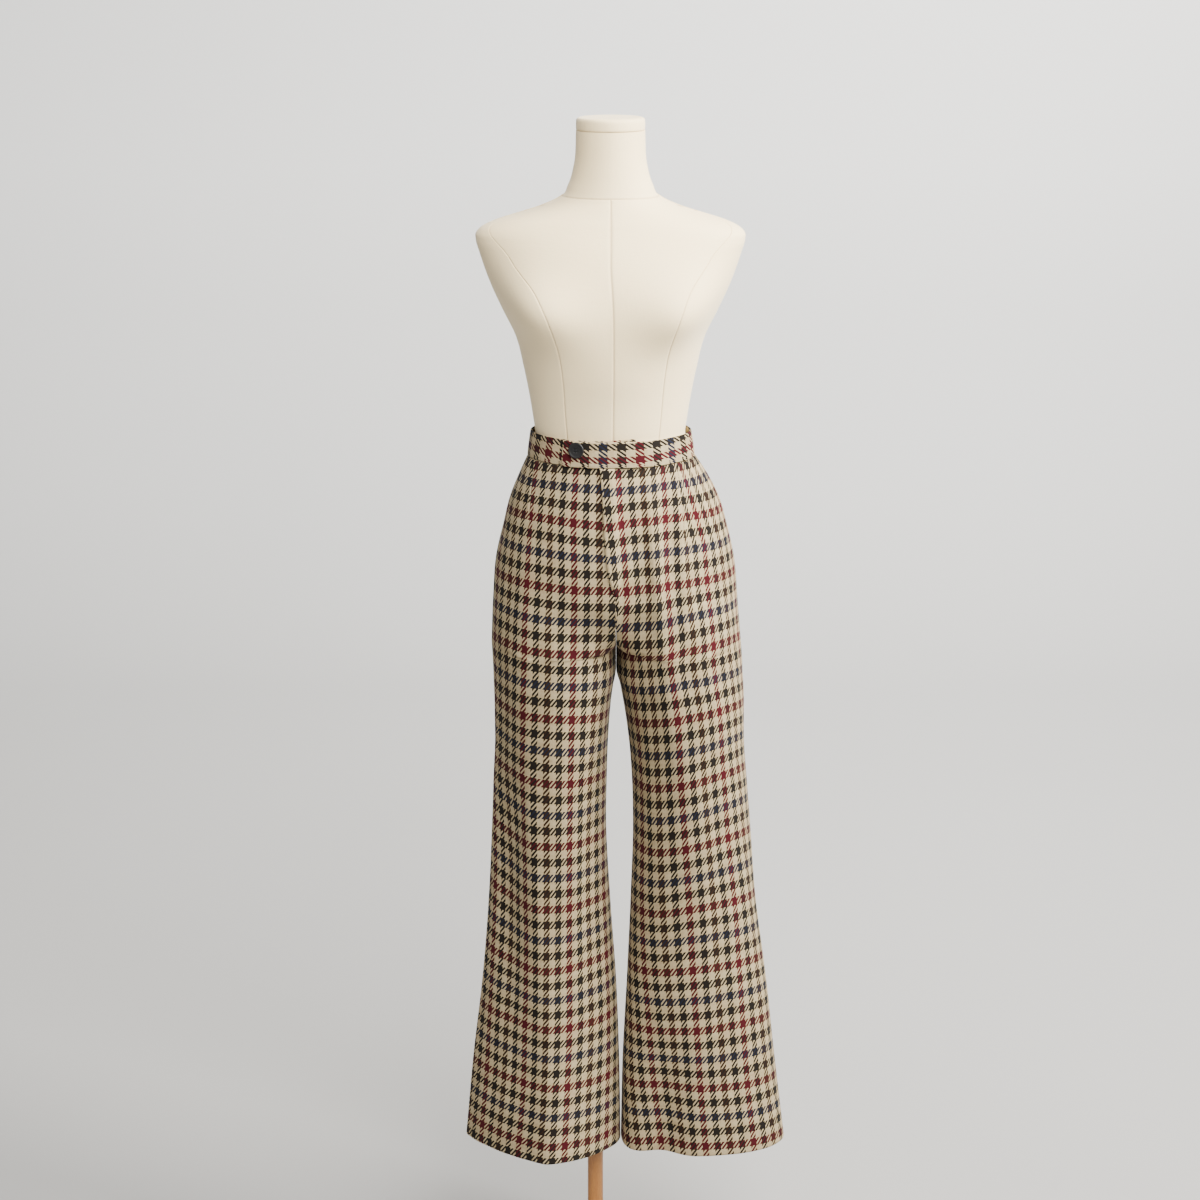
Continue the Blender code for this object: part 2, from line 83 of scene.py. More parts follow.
class Wire:
    """One output of a shader node. Sums on it add Math nodes, and node() adds a node of any other kind."""

    def __init__(self, output):
        self.output = output

    def node(self, kind, settings, inputs, result=0):
        tree = self.output.id_data
        made = tree.nodes.new(kind)
        for name, value in settings.items():
            setattr(made, name, value)
        for name, value in inputs.items():
            if isinstance(value, Wire):
                tree.links.new(value.output, made.inputs[name])
            else:
                made.inputs[name].default_value = value
        return Wire(made.outputs[result])

    def math(self, operation, *others):
        return self.node("ShaderNodeMath", {"operation": operation}, dict(enumerate((self, *others))))

    def __add__(self, other):
        return self.math("ADD", other)

    def __sub__(self, other):
        return self.math("SUBTRACT", other)

    def __rsub__(self, other):
        return self.math("MULTIPLY_ADD", -1, other)

    def __mul__(self, other):
        return self.math("MULTIPLY", other)

    def __truediv__(self, other):
        return self.math("DIVIDE", other)

    def __mod__(self, other):
        return self.math("FLOORED_MODULO", other)

    def __lt__(self, other):
        return self.math("LESS_THAN", other)

    __radd__ = __add__
    __rmul__ = __mul__

    def between(self, low, high):
        """A colour between two, by this value."""
        return self.node("ShaderNodeMix", {"data_type": "RGBA"}, {0: self, 6: low, 7: high}, 2)

    def noise(self, scale, detail=2.0, stretch=(1, 1, 1)):
        """Noise from 0 to 1 at a number of grains a metre, on coordinates stretched along each axis."""
        spread = self.node("ShaderNodeVectorMath", {"operation": "MULTIPLY"}, {0: self, 1: stretch})
        return spread.node("ShaderNodeTexNoise", {}, {"Vector": spread, "Scale": scale, "Detail": detail})

    def feed(self, shader, name):
        self.output.id_data.links.new(self.output, shader.inputs[name])

    def raise_normal(self, shader, distance, strength=1.0):
        """Feeds the shader's Normal from this height, where 1 stands for a distance in metres."""
        self.node("ShaderNodeBump", {}, {"Strength": strength, "Distance": distance, "Height": self}).feed(
            shader, "Normal"
        )


def new_finish(name, constants):
    """A new material, its shader with constants on the shader's own sockets, and the object's coordinates."""
    material = bpy.data.materials.new(name)
    material.use_nodes = True
    shader = material.node_tree.nodes["Principled BSDF"]
    for socket, value in constants.items():
        shader.inputs[socket].default_value = value
    place = Wire(material.node_tree.nodes.new("ShaderNodeTexCoord").outputs["Object"])
    return material, shader, place


def make_wall():
    """Floor and wall in one sweep: a flat stretch, a quarter circle and an upright, carried across in X."""
    turn = np.linspace(0, math.pi / 2, 24)
    bend_y = 2.8 + 0.9 * np.sin(turn)
    bend_z = 0.9 - 0.9 * np.cos(turn)
    y = np.concatenate([[-6.0], bend_y, [3.7]])
    z = np.concatenate([[0.0], bend_z, [4.5]]) - 0.4 * MM
    x = np.array([4.5, -4.5])
    points = np.stack(np.broadcast_arrays(x[None, :], y[:, None], z[:, None]), axis=-1)
    wall = make_mesh("studio_wall", points.reshape(-1, 3), grid_quads(len(y), 2))
    material, shader, place = new_finish("pale_paint_painted_shade", {"Roughness": 0.9})
    # Painted shade: the colour is pale high on the wall and darkens downward and over the front of the floor,
    # with a faint random blotch on top.
    height = place.node("ShaderNodeSeparateXYZ", {}, {0: place}, 2)
    back = Wire(height.output.node.outputs[1]).math("MAXIMUM", 0)
    up = (height * 0.32 + back * 0.15 + place.noise(0.6) * 0.1 - 0.04).math("MINIMUM", 1)
    up.between((0.36, 0.35, 0.335, 1), (0.96, 0.955, 0.935, 1)).feed(shader, "Base Color")
    wall.data.materials.append(material)


def add_light(name, place, aim, size, power, colour):
    """A square area light at a place, turned to face a point."""
    light = bpy.data.lights.new(name, "AREA")
    light.size = size
    light.energy = power
    light.color = colour
    lamp = bpy.data.objects.new(name, light)
    bpy.context.scene.collection.objects.link(lamp)
    way = np.array(aim) - np.array(place)
    flat = math.hypot(way[0], way[1])
    lamp.location = place
    lamp.rotation_euler = (math.atan2(flat, -way[2]), 0, math.atan2(-way[0], way[1]))


make_wall()
add_light("high_front", (0.9, -1.75, 3.2), (0.0, 0.0, 1.4), 1.8, 232, (1.0, 0.985, 0.955))
add_light("window_right", (2.3, -0.5, 3.1), (0.0, 0.1, 1.6), 1.2, 320, (1.0, 0.985, 0.95))
add_light("wall_wash", (1.7, 1.7, 3.4), (1.7, 3.7, 1.7), 1.4, 75, (1.0, 0.99, 0.97))
add_light("fill_left", (-2.4, -2.6, 2.4), (0.0, 0.0, 1.4), 2.4, 20, (0.95, 0.97, 1.0))
world = bpy.data.worlds.new("studio_air")
world.use_nodes = True
world.node_tree.nodes["Background"].inputs["Color"].default_value = (0.93, 0.95, 1.0, 1)
world.node_tree.nodes["Background"].inputs["Strength"].default_value = 0.34
bpy.context.scene.world = world
camera = bpy.data.objects.new("photo_camera", bpy.data.cameras.new("photo_camera"))
camera.data.lens = 66.45
camera.data.sensor_width = 36
camera.location = (7 * MM, -3.0, 2.0)
camera.rotation_euler = (math.radians(73.27), 0, 0)
bpy.context.scene.collection.objects.link(camera)
bpy.context.scene.camera = camera


# Wooden stand: a pole turned from light wood and varnished, which stands in a round base and carries the
# form. The photo shows 40 mm of the pole under the hem, and the base is below its edge.

POLE_RADIUS = 11.75 * MM
POLE_BOTTOM = 10.3 * MM
POLE_TOP = 1159.7 * MM
POLE_CHAMFER = 1.2 * MM
SOCKET_RADIUS = 12.05 * MM
BASE_RADIUS = 160 * MM
BASE_HEIGHT = 25 * MM
BASE_ROUND = 5 * MM
BASE_SOCKET = 10 * MM


def quarter_round(radius, height, bend, start):
    """Profile points of a quarter circle about (radius, height), from a start turn up by 90 degrees."""
    turn = np.radians(start + np.linspace(0, 90, 7))
    return np.stack([radius + bend * np.cos(turn), height + bend * np.sin(turn)], axis=-1)


def turned_points(profile, centre_x, around):
    """Each profile point (radius, height) carried once round an upright axis, as rows of a grid."""
    turn = np.linspace(0, 2 * np.pi, around, endpoint=False)
    radius, height = profile[:, :1], profile[:, 1:]
    x = centre_x + radius * np.sin(turn)
    y = -radius * np.cos(turn)
    return np.stack([x, y, np.broadcast_to(height, x.shape)], axis=-1)


def weld(obj, sharp=40):
    """Joins points that coincide, as at a pole, turns all faces outward and keeps corners over an angle
    sharp."""
    shell = bmesh.new()
    shell.from_mesh(obj.data)
    bmesh.ops.remove_doubles(shell, verts=shell.verts, dist=2e-6)
    bmesh.ops.recalc_face_normals(shell, faces=shell.faces)
    shell.to_mesh(obj.data)
    shell.free()
    obj.data.set_sharp_from_angle(angle=math.radians(sharp))


def turned_piece(name, profile, centre_x=0.0, around=96):
    profile = np.array(profile)
    points = turned_points(profile, centre_x, around)
    piece = make_mesh(name, points.reshape(-1, 3), grid_quads(len(profile), around, wraps=True))
    weld(piece)
    return piece


def varnished_wood(name, along):
    """Light wood: pale and dark streaks drawn out along the grain, short pores, and a thin coat of
    varnish."""
    material, shader, place = new_finish(name, {"Coat Weight": 0.22, "Coat Roughness": 0.25})
    across = tuple(1 if axis == along else 14 for axis in "xyz")
    streak = place.noise(9, 4, across)
    fibre = place.noise(60, 3, across)
    pore = place.noise(150, 1, tuple(1 if axis == along else 9 for axis in "xyz")).math("POWER", 3)
    tone = streak * 0.75 + fibre * 0.35
    light = tone.between((0.52, 0.235, 0.045, 1), (0.25, 0.085, 0.014, 1))
    pore.between(light, (0.16, 0.06, 0.014, 1)).feed(shader, "Base Color")
    (0.34 + fibre * 0.22).feed(shader, "Roughness")
    (1 - pore * 0.8 - fibre * 0.2).raise_normal(shader, 0.15 * MM)
    return material


base_profile = np.concatenate(
    [
        [[0, 0], [BASE_RADIUS - 1.5 * MM, 0]],
        quarter_round(BASE_RADIUS - 1.5 * MM, 1.5 * MM, 1.5 * MM, -90),
        quarter_round(BASE_RADIUS - BASE_ROUND, BASE_HEIGHT - BASE_ROUND, BASE_ROUND, 0),
        [[SOCKET_RADIUS + 1 * MM, BASE_HEIGHT], [SOCKET_RADIUS, BASE_HEIGHT - 1 * MM]],
        [[SOCKET_RADIUS, BASE_SOCKET], [0, BASE_SOCKET]],
    ]
)
base = turned_piece("wooden_base", base_profile, around=180)
base.data.materials.append(varnished_wood("base_wood", "x"))
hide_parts("stand_base")
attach(base, "root")

pole_profile = [
    (0, POLE_BOTTOM),
    (POLE_RADIUS - POLE_CHAMFER, POLE_BOTTOM),
    (POLE_RADIUS, POLE_BOTTOM + POLE_CHAMFER),
    (POLE_RADIUS, POLE_TOP - POLE_CHAMFER),
    (POLE_RADIUS - POLE_CHAMFER, POLE_TOP),
    (0, POLE_TOP),
]
pole = turned_piece("wooden_pole", pole_profile, around=64)
pole.data.materials.append(varnished_wood("pole_wood", "z"))
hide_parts("stand_pole")
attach(pole, "root")


# Hips of the trousers and of the form inside them. The trousers' hip is half an ellipse in front and half
# an ellipse behind at each height, in millimetres, and the padded form fills it up to a clearance.

HIP_COLUMNS = ("height", "centre_x", "half_width", "front_y", "side_y", "back_y")
HIPS = (
    (1310, 22.5, 115.5, -85.5, -1, 83.5),
    (1280, 25.5, 132.0, -93.0, 0, 96.0),
    (1250, 27.0, 145.5, -99.0, 1, 107.0),
    (1210, 28.0, 156.5, -105.0, 2, 118.5),
    (1165, 28.0, 167.0, -109.0, 2, 125.0),
    (1106, 28.5, 172.5, -109.0, 0, 123.0),
    (1039, 30.0, 177.0, -106.0, -3, 114.0),
)


def read(table, columns, name, height):
    """One column of a table at a height: a cubic between rows, with each row's slope taken from its
    neighbours."""
    rows = np.array(sorted(table))
    levels = rows[:, columns.index("height")] * MM
    values = rows[:, columns.index(name)] * MM
    slopes = np.gradient(values, levels)
    height = np.clip(height, levels[0], levels[-1])
    row = np.clip(np.searchsorted(levels, height, side="right") - 1, 0, len(levels) - 2)
    span = levels[row + 1] - levels[row]
    t = (height - levels[row]) / span
    return (
        values[row] * (1 + 2 * t) * (1 - t) ** 2
        + values[row + 1] * t * t * (3 - 2 * t)
        + slopes[row] * span * t * (1 - t) ** 2
        - slopes[row + 1] * span * t * t * (1 - t)
    )


def smooth_step(t):
    t = np.clip(t, 0, 1)
    return t * t * (3 - 2 * t)


def hip(name, height):
    return read(HIPS, HIP_COLUMNS, name, height)


# Dress form: cotton cloth drawn tight over a padded shell, sewn from panels with a centre seam, two
# princess seams front and back, shoulder and side seams, and a seam round the base of the neck. Its neck
# ends in a covered cap.

FORM_CENTRE_X = 21 * MM
FORM_BOTTOM = 1100 * MM
FORM_SOCKET_TOP = 1160 * MM
FORM_COLUMNS = ("height", "half_width", "front_y", "back_y")
FORM = (
    (1345, 103.5, -78, 76),
    (1394, 111.0, -86, 79),
    (1433, 118.5, -95, 83),
    (1479, 130.0, -102, 88),
    (1512, 146.0, -104, 92),
    (1552, 164.0, -100, 96),
    (1590, 177.0, -89, 96),
    (1606, 181.5, -82, 92),
    (1616, 181.0, -77, 88),
    (1624, 173.0, -73, 83),
    (1632, 156.0, -69, 78),
    (1641, 127.0, -64, 72),
    (1651, 94.0, -59, 66),
    (1664, 66.0, -53, 58),
    (1679, 57.0, -50, 53),
    (1706, 49.0, -47, 48),
    (1750.7, 46.0, -45, 45),
)
CLEARANCE_COLUMNS = ("height", "clearance")
CLEARANCES = (
    (1100, 19), (1103, 13), (1114, 10), (1139, 6.5), (1165, 3.1), (1198, 3.1), (1230, 4.0), (1310, 9),
)
BUST_HEIGHT = 1520 * MM
BUST_REACH = 48 * MM
BUST_TURN = 39
BUST_SPREAD = 23
BUST_DEPTH = 27 * MM
SEAM_TURNS = ("height", "princess", "lean")
PRINCESS = (
    (1100, 38, 2.5),
    (1345, 37, 2.5),
    (1376, 36.8, 2.5),
    (1426, 35.5, 2.5),
    (1477, 35, 2.2),
    (1521, 35, 1.6),
    (1550, 38, 0.8),
    (1577, 46, 0),
    (1602, 53.5, 0),
    (1620, 65, 0),
    (1632, 78, 0),
    (1760, 78, 0),
)
NECK_SEAM = 1665 * MM
SEAM_DEPTH = 0.8 * MM
SEAM_WIDTH = 0.9 * MM
SEAM_OFFSETS = np.array([0, 0.45, 0.9, 1.5, 2.4, 4.0]) * MM
COTTON_GLOSS = {"Sheen Weight": 0.25, "Sheen Roughness": 0.5, "Specular IOR Level": 0.3}


def form_rows():
    """Heights of the form's rings, with close ones at the neck seam and on the turn of the shoulder."""
    low = np.array([1100.0, 1101.2, 1103.0, 1106.5, 1110.0, 1114.0, 1120.0, 1130.0])
    close = np.concatenate([-SEAM_OFFSETS[:0:-1], SEAM_OFFSETS]) / MM + NECK_SEAM / MM
    rows = np.concatenate(
        [
            low,
            np.arange(1140, 1596, 4.0),
            np.arange(1596, 1660.5, 1.25),
            close,
            np.arange(1670, 1750, 3.0),
            [1749.4, 1750.2, 1750.7],
        ]
    )
    return np.unique(rows) * MM


def form_turns(height):
    """Columns of the form as turns from the centre front, in degrees. Each seam is a column, with close
    ones beside it and even ones between the seams."""
    princess = read(PRINCESS, SEAM_TURNS, "princess", height) / MM
    lean = read(PRINCESS, SEAM_TURNS, "lean", height) / MM
    side = np.full_like(height, 90.0)
    back = np.interp(height / MM, [1100, 1345, 1500, 1590, 1640], [147, 147, 148, 140, 118])
    front = [0.8 * lean, princess + lean, side]
    behind = [back, side * 2, 360 - back, 360 - side, 360 - princess + lean]
    seams = np.stack(front + behind)
    seams = np.concatenate([seams, seams[:1] + 360]).T
    per_metre = 360 / 0.75
    close = SEAM_OFFSETS * per_metre
    turns = []
    for low, high in zip(seams.T[:-1, :, None], seams.T[1:, :, None]):
        even = np.linspace(0, 1, 16)[1:-1]
        middle = low + close[-1] + (high - low - 2 * close[-1]) * even
        turns += [low + close, middle, high - close[:0:-1]]
    return np.concatenate(turns, axis=1), seams[:, :-1]


def form_ring(turn, height):
    """Half an ellipse in front and half behind, with two soft bells added in front for the bust."""
    low = height <= FORM[0][0] * MM
    hip_inset = read(CLEARANCES, CLEARANCE_COLUMNS, "clearance", height)
    join = smooth_step((height - 1310 * MM) / (35 * MM))
    half_width = np.where(low, hip("half_width", height) - hip_inset, 0)
    front_y = np.where(low, hip("front_y", height) + hip_inset, 0)
    back_y = np.where(low, hip("back_y", height) - hip_inset, 0)
    half_width = (1 - join) * half_width + join * read(FORM, FORM_COLUMNS, "half_width", height)
    front_y = (1 - join) * front_y + join * read(FORM, FORM_COLUMNS, "front_y", height)
    back_y = (1 - join) * back_y + join * read(FORM, FORM_COLUMNS, "back_y", height)
    side_y = (1 - join) * hip("side_y", height)
    centre_x = (1 - join) * hip("centre_x", height) + join * FORM_CENTRE_X
    round_x, round_y = np.sin(np.radians(turn)), np.cos(np.radians(turn))
    x = centre_x + half_width * round_x
    y = side_y - np.where(round_y > 0, side_y - front_y, back_y - side_y) * round_y
    away = np.abs((turn + 180) % 360 - 180) - BUST_TURN
    rise = (height - BUST_HEIGHT) / BUST_REACH
    bust = BUST_DEPTH * np.exp(-((away / BUST_SPREAD) ** 2)) * np.exp(-(rise**2))
    return np.stack([x + bust * 0.3 * round_x, y - bust, np.broadcast_to(height, x.shape)], axis=-1)


def grid_normals(points, wraps=False):
    """Unit normals of a grid from the differences between each point's neighbours, turned away from its
    middle."""
    if wraps:
        across = np.roll(points, -1, axis=1) - np.roll(points, 1, axis=1)
    else:
        across = np.gradient(points, axis=1)
    normals = np.cross(across, np.gradient(points, axis=0))
    normals /= np.linalg.norm(normals, axis=-1, keepdims=True)
    middle = points.reshape(-1, 3).mean(axis=0)
    facing = np.sign(((points - middle) * normals)[..., :2].sum())
    return normals * facing


def make_form():
    heights = form_rows()
    turns, seams = form_turns(heights)
    points = form_ring(turns, heights[:, None])
    normals = grid_normals(points, wraps=True)
    radius = np.linalg.norm(points[..., :2] - np.array([FORM_CENTRE_X, 0]), axis=-1)
    groove = np.zeros(turns.shape)
    for seam in seams.T:
        away = np.radians((turns - seam[:, None] + 180) % 360 - 180) * radius
        groove = np.maximum(groove, np.exp(-((away / SEAM_WIDTH) ** 2)))
    groove *= (heights < NECK_SEAM)[:, None]
    neck = np.exp(-(((heights - NECK_SEAM) / SEAM_WIDTH) ** 2))[:, None]
    groove = np.maximum(groove, neck)
    points -= normals * SEAM_DEPTH * groove[..., None]
    around = points.shape[1]
    socket = np.array([[0, FORM_SOCKET_TOP], [SOCKET_RADIUS, FORM_SOCKET_TOP], [SOCKET_RADIUS, FORM_BOTTOM]])
    socket = turned_points(socket, 0.0, around)
    top = points[-1:].copy()
    top[..., :2] = np.array([FORM_CENTRE_X, 0])
    points = np.concatenate([socket, points, top])
    form = make_mesh("padded_form", points.reshape(-1, 3), grid_quads(len(points), around, wraps=True))
    # Depth of the seam grooves, kept as an attribute for the painted shade along them.
    painted_seam_shade = np.zeros((len(points), around))
    painted_seam_shade[len(socket) : len(socket) + len(groove)] = groove
    seam_values = form.data.attributes.new("seam", "FLOAT", "POINT").data
    seam_values.foreach_set("value", painted_seam_shade.astype(np.float32).ravel())
    weld(form, 60)
    material, shader, place = new_finish("ivory_cotton", {"Roughness": 0.72, **COTTON_GLOSS})
    stain = place.noise(7, 3)
    slub = place.noise(420, 2, (1, 1, 0.25))
    weft = place.noise(420, 2, (0.25, 0.25, 1))
    tone = stain * 0.7 + slub * 0.3
    cotton = tone.between((0.94, 0.765, 0.45, 1), (0.88, 0.69, 0.38, 1))
    # Painted shade: the colour darkens halfway to brown down the middle of each seam groove and the neck
    # seam.
    seam = place.node("ShaderNodeAttribute", {"attribute_name": "seam"}, {}, 2)
    (seam * 0.5).between(cotton, (0.50, 0.36, 0.19, 1)).feed(shader, "Base Color")
    (slub + weft).raise_normal(shader, 0.12 * MM)
    form.data.materials.append(material)
    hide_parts("dress_form")
    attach(form, "root")


def make_cap():
    """The cap's profile, carried round: a groove under it, an upright side and a flat top with a soft
    edge."""
    profile = np.concatenate(
        [
            [[0, 1751.0], [44.5, 1751.0]],
            [[45.4, 1751.6], [45.9, 1752.6], [46.0, 1754.5], [46.1, 1758.0], [46.0, 1762.0]],
            [[45.7, 1764.2], [44.9, 1765.8], [43.4, 1767.0], [41.0, 1767.7], [36.0, 1768.0], [0, 1768.0]],
        ]
    )
    cap = turned_piece("covered_cap", profile * MM, FORM_CENTRE_X, 128)
    material, shader, place = new_finish("cap_cotton", {"Roughness": 0.7, **COTTON_GLOSS})
    stain = place.noise(18, 3)
    slub = place.noise(420, 2, (1, 1, 0.25))
    stain.between((0.93, 0.755, 0.45, 1), (0.85, 0.67, 0.37, 1)).feed(shader, "Base Color")
    slub.raise_normal(shader, 0.12 * MM)
    cap.data.materials.append(material)
    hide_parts("neck_cap")
    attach(cap, "root")


make_form()
make_cap()


# Trouser panels: two fronts and two backs cut from a checked wool tweed, sewn at the sides, the inseams and
# the centre seam, turned up inside at the hem. The wearer's-left front laps over the other at the fly, and
# each panel has a dart.

CLOTH_WALL = 1.6 * MM
HEM_TURN_UP = 38 * MM
SEAM_GAP = 0.3 * MM
SEAM_ROLL = 0.9 * MM
ROLL_WIDTH = 1.1 * MM
PUFF_WIDTH = 7 * MM
PUFF_HEIGHT = 0.5 * MM
CALM_ABOVE = 1150 * MM
DART_MARGIN = 12 * MM
WAIST_SEAM = 1310 * MM
CROTCH = 1039 * MM
LEGS_PART = 970 * MM
HEM = 249 * MM
FRONT_CROTCH_CURVE = 80 * MM
BACK_CROTCH_CURVE = 100 * MM
THIGH_BLEND = 130 * MM
LEG_COLUMNS = (
    "height", "inner_x", "outer_x", "crease_x", "front_y", "back_y", "side_y", "inseam_y", "outer_power",
    "inner_power",
)
RIGHT_LEG = (
    (1039, 30, -147, -55, -98, 106, -3, 8, 1.8, 2.4),
    (1010, 30, -145.5, -56, -97, 105, -5, 8, 1.75, 2.6),
    (992, 29.8, -145, -57, -97, 105, -5, 8, 1.75, 2.6),
    (975, 26.5, -144.5, -58, -96, 103, -7, 7, 1.7, 2.6),
    (956, 23.5, -144, -58, -95, 102, -8, 6, 1.65, 2.6),
    (925, 20.5, -144, -58.5, -93, 100, -7, 5, 1.6, 2.5),
    (895, 18.8, -144, -59, -91, 97, -6, 4, 1.6, 2.4),
    (834, 17, -147, -60, -86, 91, -3, 2, 1.5, 2.1),
    (770, 16, -150, -60, -82, 86, 0, 0, 1.45, 2.0),
    (644, 22, -157, -61, -76, 76, 2, 0, 1.45, 1.9),
    (515, 31, -168, -64, -77, 72, 2, -4, 1.4, 1.8),
    (382, 36, -184, -68, -83, 70, 2, -8, 1.3, 1.7),
    (249, 38, -197, -73, -90, 69, 0, -12, 1.25, 1.6),
)
LEFT_LEG = (
    (1039, 30, 207, 118, -98, 106, -3, 8, 1.9, 2.2),
    (1010, 30, 209.5, 119.5, -97, 105, -3, 8, 1.9, 2.0),
    (992, 30.3, 210.5, 120.5, -97, 105, -3, 8, 1.9, 2.0),
    (975, 35, 212, 122, -96, 103, -2, 7, 1.9, 1.9),
    (956, 38.8, 213, 123, -95, 102, -2, 6, 1.9, 1.9),
    (925, 44, 213.5, 125, -93, 100, -1.5, 5, 1.9, 1.85),
    (895, 48, 214, 127, -91, 97, -1, 4, 1.9, 1.8),
    (834, 53, 219, 130, -86, 91, 0, 2, 1.9, 1.8),
    (770, 55, 225, 132, -82, 86, 0, 0, 1.9, 1.8),
    (644, 52, 236, 134, -75, 76, 0, 0, 1.9, 1.9),
    (515, 47, 254, 140, -71, 69, 0, 0, 1.9, 2.2),
    (382, 41, 270, 150, -68, 64, 0, 0, 2.0, 2.6),
    (249, 38.6, 287, 163, -65, 60, 0, 0, 2.1, 3.2),
)
BACK_CREASE_SHARE = 0.5
BACK_POWER = 1.9

# Folds that run down the cloth, in millimetres: troughs, or ridges where the depth is negative. FOLDS are
# the part's own, and SOFT_FOLDS are the softer ones that cloth has between them.
FOLD_COLUMNS = ("leg", "face", "foot_x", "lean", "top", "foot", "width", "depth")
FOLDS = (
    (1, -1, 98, 0.03, 520, 249, 27, 15),
    (1, -1, 150, 0.03, 560, 249, 20, -3),
    (1, 1, 120, 0.02, 900, 249, 24, 7),
    (1, 1, 205, -0.06, 760, 249, 22, -5),
    (-1, 1, -60, 0.05, 820, 249, 24, 8),
    (-1, 1, -135, 0.10, 1000, 300, 22, -5),
)
SOFT_FOLD_COLUMNS = ("leg", "face", "middle_x", "lean", "middle", "reach", "width", "depth")
SOFT_FOLDS = (
    (1, -1, 39, -0.02, 1290, 35, 4, -1.2),
    (1, -1, 57, -0.05, 1170, 100, 10, 0.9),
    (1, -1, 83, -0.06, 1170, 110, 9, -7.5),
    (1, -1, 102, -0.07, 1180, 100, 6, 0.8),
    (1, -1, 121, -0.08, 1180, 110, 9, -5.5),
    (1, -1, 95, -0.07, 900, 150, 14, 1.6),
    (1, -1, 98, -0.05, 1040, 110, 14, -3.5),
    (1, -1, 129, -0.05, 1040, 120, 14, 3.5),
    (1, -1, 176, -0.05, 800, 180, 13, 1.5),
    (1, -1, 205, -0.07, 560, 140, 12, -1.6),
    (1, -1, 240, -0.08, 360, 120, 10, 2.0),
    (-1, -1, -100, 0.03, 1130, 120, 14, -1.6),
    (-1, -1, -76, 0.03, 1000, 120, 9, 1.2),
    (-1, -1, -15, 0.01, 700, 200, 11, 1.4),
    (-1, -1, -88, -0.05, 700, 230, 15, -7),
    (-1, -1, -22, 0.02, 690, 200, 12, -3),
    (-1, -1, -128, -0.02, 680, 230, 17, 12),
    (-1, -1, -135, 0.06, 380, 120, 12, -1.5),
    (1, 1, 110, -0.05, 1090, 120, 22, -3.5),
    (1, 1, 165, -0.06, 1020, 160, 16, 3.0),
    (1, 1, 80, -0.04, 960, 110, 13, 2.6),
    (1, 1, 150, -0.05, 620, 170, 15, -2.6),
    (1, 1, 235, -0.05, 420, 130, 13, 2.4),
    (-1, 1, -60, 0.05, 1080, 130, 22, -3.5),
    (-1, 1, -110, 0.06, 1000, 150, 16, 3.0),
    (-1, 1, -25, 0.03, 950, 110, 13, 2.6),
    (-1, 1, -100, 0.05, 600, 180, 15, -2.4),
    (-1, 1, -165, 0.06, 420, 130, 13, 2.2),
)

# Fly: how far the wearer's-left front laps over the other, and how it runs out at the foot of the fly
FLY_LAP = 16 * MM
FLY_FALL = 180 * MM
FLY_LIFT = 4.4 * MM
FLY_FADE = 9 * MM

# Cut of each panel: the x of its straight grain and of its dart at the waist seam, how far each moves
# outward per metre of fall, how much cloth the dart takes, where it ends, how the weft rows tilt, and how
# the cloth hangs in length
CUT_COLUMNS = (
    "grain_x", "grain_lean", "dart_x", "dart_lean", "dart_take", "dart_tip", "tilt", "row_z", "hang",
)
CUTS = {
    "front_left": (88.5, 71.3, 111.5, 137, 34.0, 1198, 0.06, 1242.0, 97.9),
    "front_right": (-28.0, 15.5, -84.0, 90, 9.0, 1215, 0.03, 1237.1, 96.0),
    "back_left": (108.0, 60, 84.0, 40, 20.0, 1190, 0.06, 1242.0, 97.9),
    "back_right": (-62.0, 40, -40.0, 40, 20.0, 1190, 0.04, 1237.1, 96.0),
}
NOMINAL_REPEAT = 97.0

# How far the weave is pulled out of straight as the cloth hangs, in millimetres: the weft rows downward and
# the warp threads inward, each at five places from the inner edge to the side seam
PULL_COLUMNS = ("height",) + tuple(f"{way}_{place}" for way in ("row", "column") for place in range(5))
PULLS = {
    "front_left": (
        (1310, 9, 12, 12, 14, 16, -12, -11, -4, 10, 14),
        (1240, 6, 2, 3, 9, 13, -12, -8, 1, 11, 14),
        (1145, -2, -4, -3, 1, 4, -14, -3, 6, 12, 16),
        (1045, 9, 7, -5, -5, 5, -4, -2, 5, 14, 16),
        (950, 13, 9, -3, -5, 5, 0, 0, -1, 8, 12),
        (850, 11, 11, -1, -5, 6, 2, 1, 0, 6, 8),
        (750, 12, 12, 0, -4, 6, 6, 3, -1, 5, 6),
        (650, 12, 11, -1, 0, 10, 8, 5, -1, 0, 0),
        (555, 9, 5, -1, 1, 12, 6, 4, 0, 0, 0),
        (455, 4, 1, 0, 1, 11, 0, 0, 0, 0, 0),
        (360, -2, -7, -3, 3, 12, -1, -1, 0, -1, -1),
        (260, -9, -9, -4, 2, 10, -5, -4, -2, -5, -6),
    ),
    "front_right": (
        (1305, 0, 3, 5, 8, 8, -2, 2, 6, 9, 9),
        (1240, 4, 2, 1, 3, 6, 0, 0, 3, 9, 10),
        (1145, -5, -2, -2, -2, -2, 1, 3, 3, 7, 8),
        (1050, -2, -3, -4, -6, -3, 1, 2, 3, 4, 4),
        (950, 6, 1, -3, -2, -6, 3, 0, 2, 1, 0),
        (855, 8, 1, 1, -2, -7, 5, -2, 2, -2, -5),
        (757, 3, 0, 3, 3, -7, 2, -3, 3, 1, 4),
        (660, 3, 1, 6, 6, -8, -2, -3, 4, 4, 14),
        (560, -2, -1, 8, 8, -1, -3, 0, 4, 7, 14),
        (465, -2, 0, 5, 4, 1, 0, 3, 4, 6, 12),
        (360, 0, 0, 2, 2, 0, 0, 1, 2, 4, 7),
        (260, 0, 0, 0, 0, 0, 0, 0, -3, -5, -2),
    ),
}
EVEN_COLUMNS = 26
CLOSE_COLUMNS = np.array([0.35, 0.8, 1.4, 2.2, 3.4]) * MM


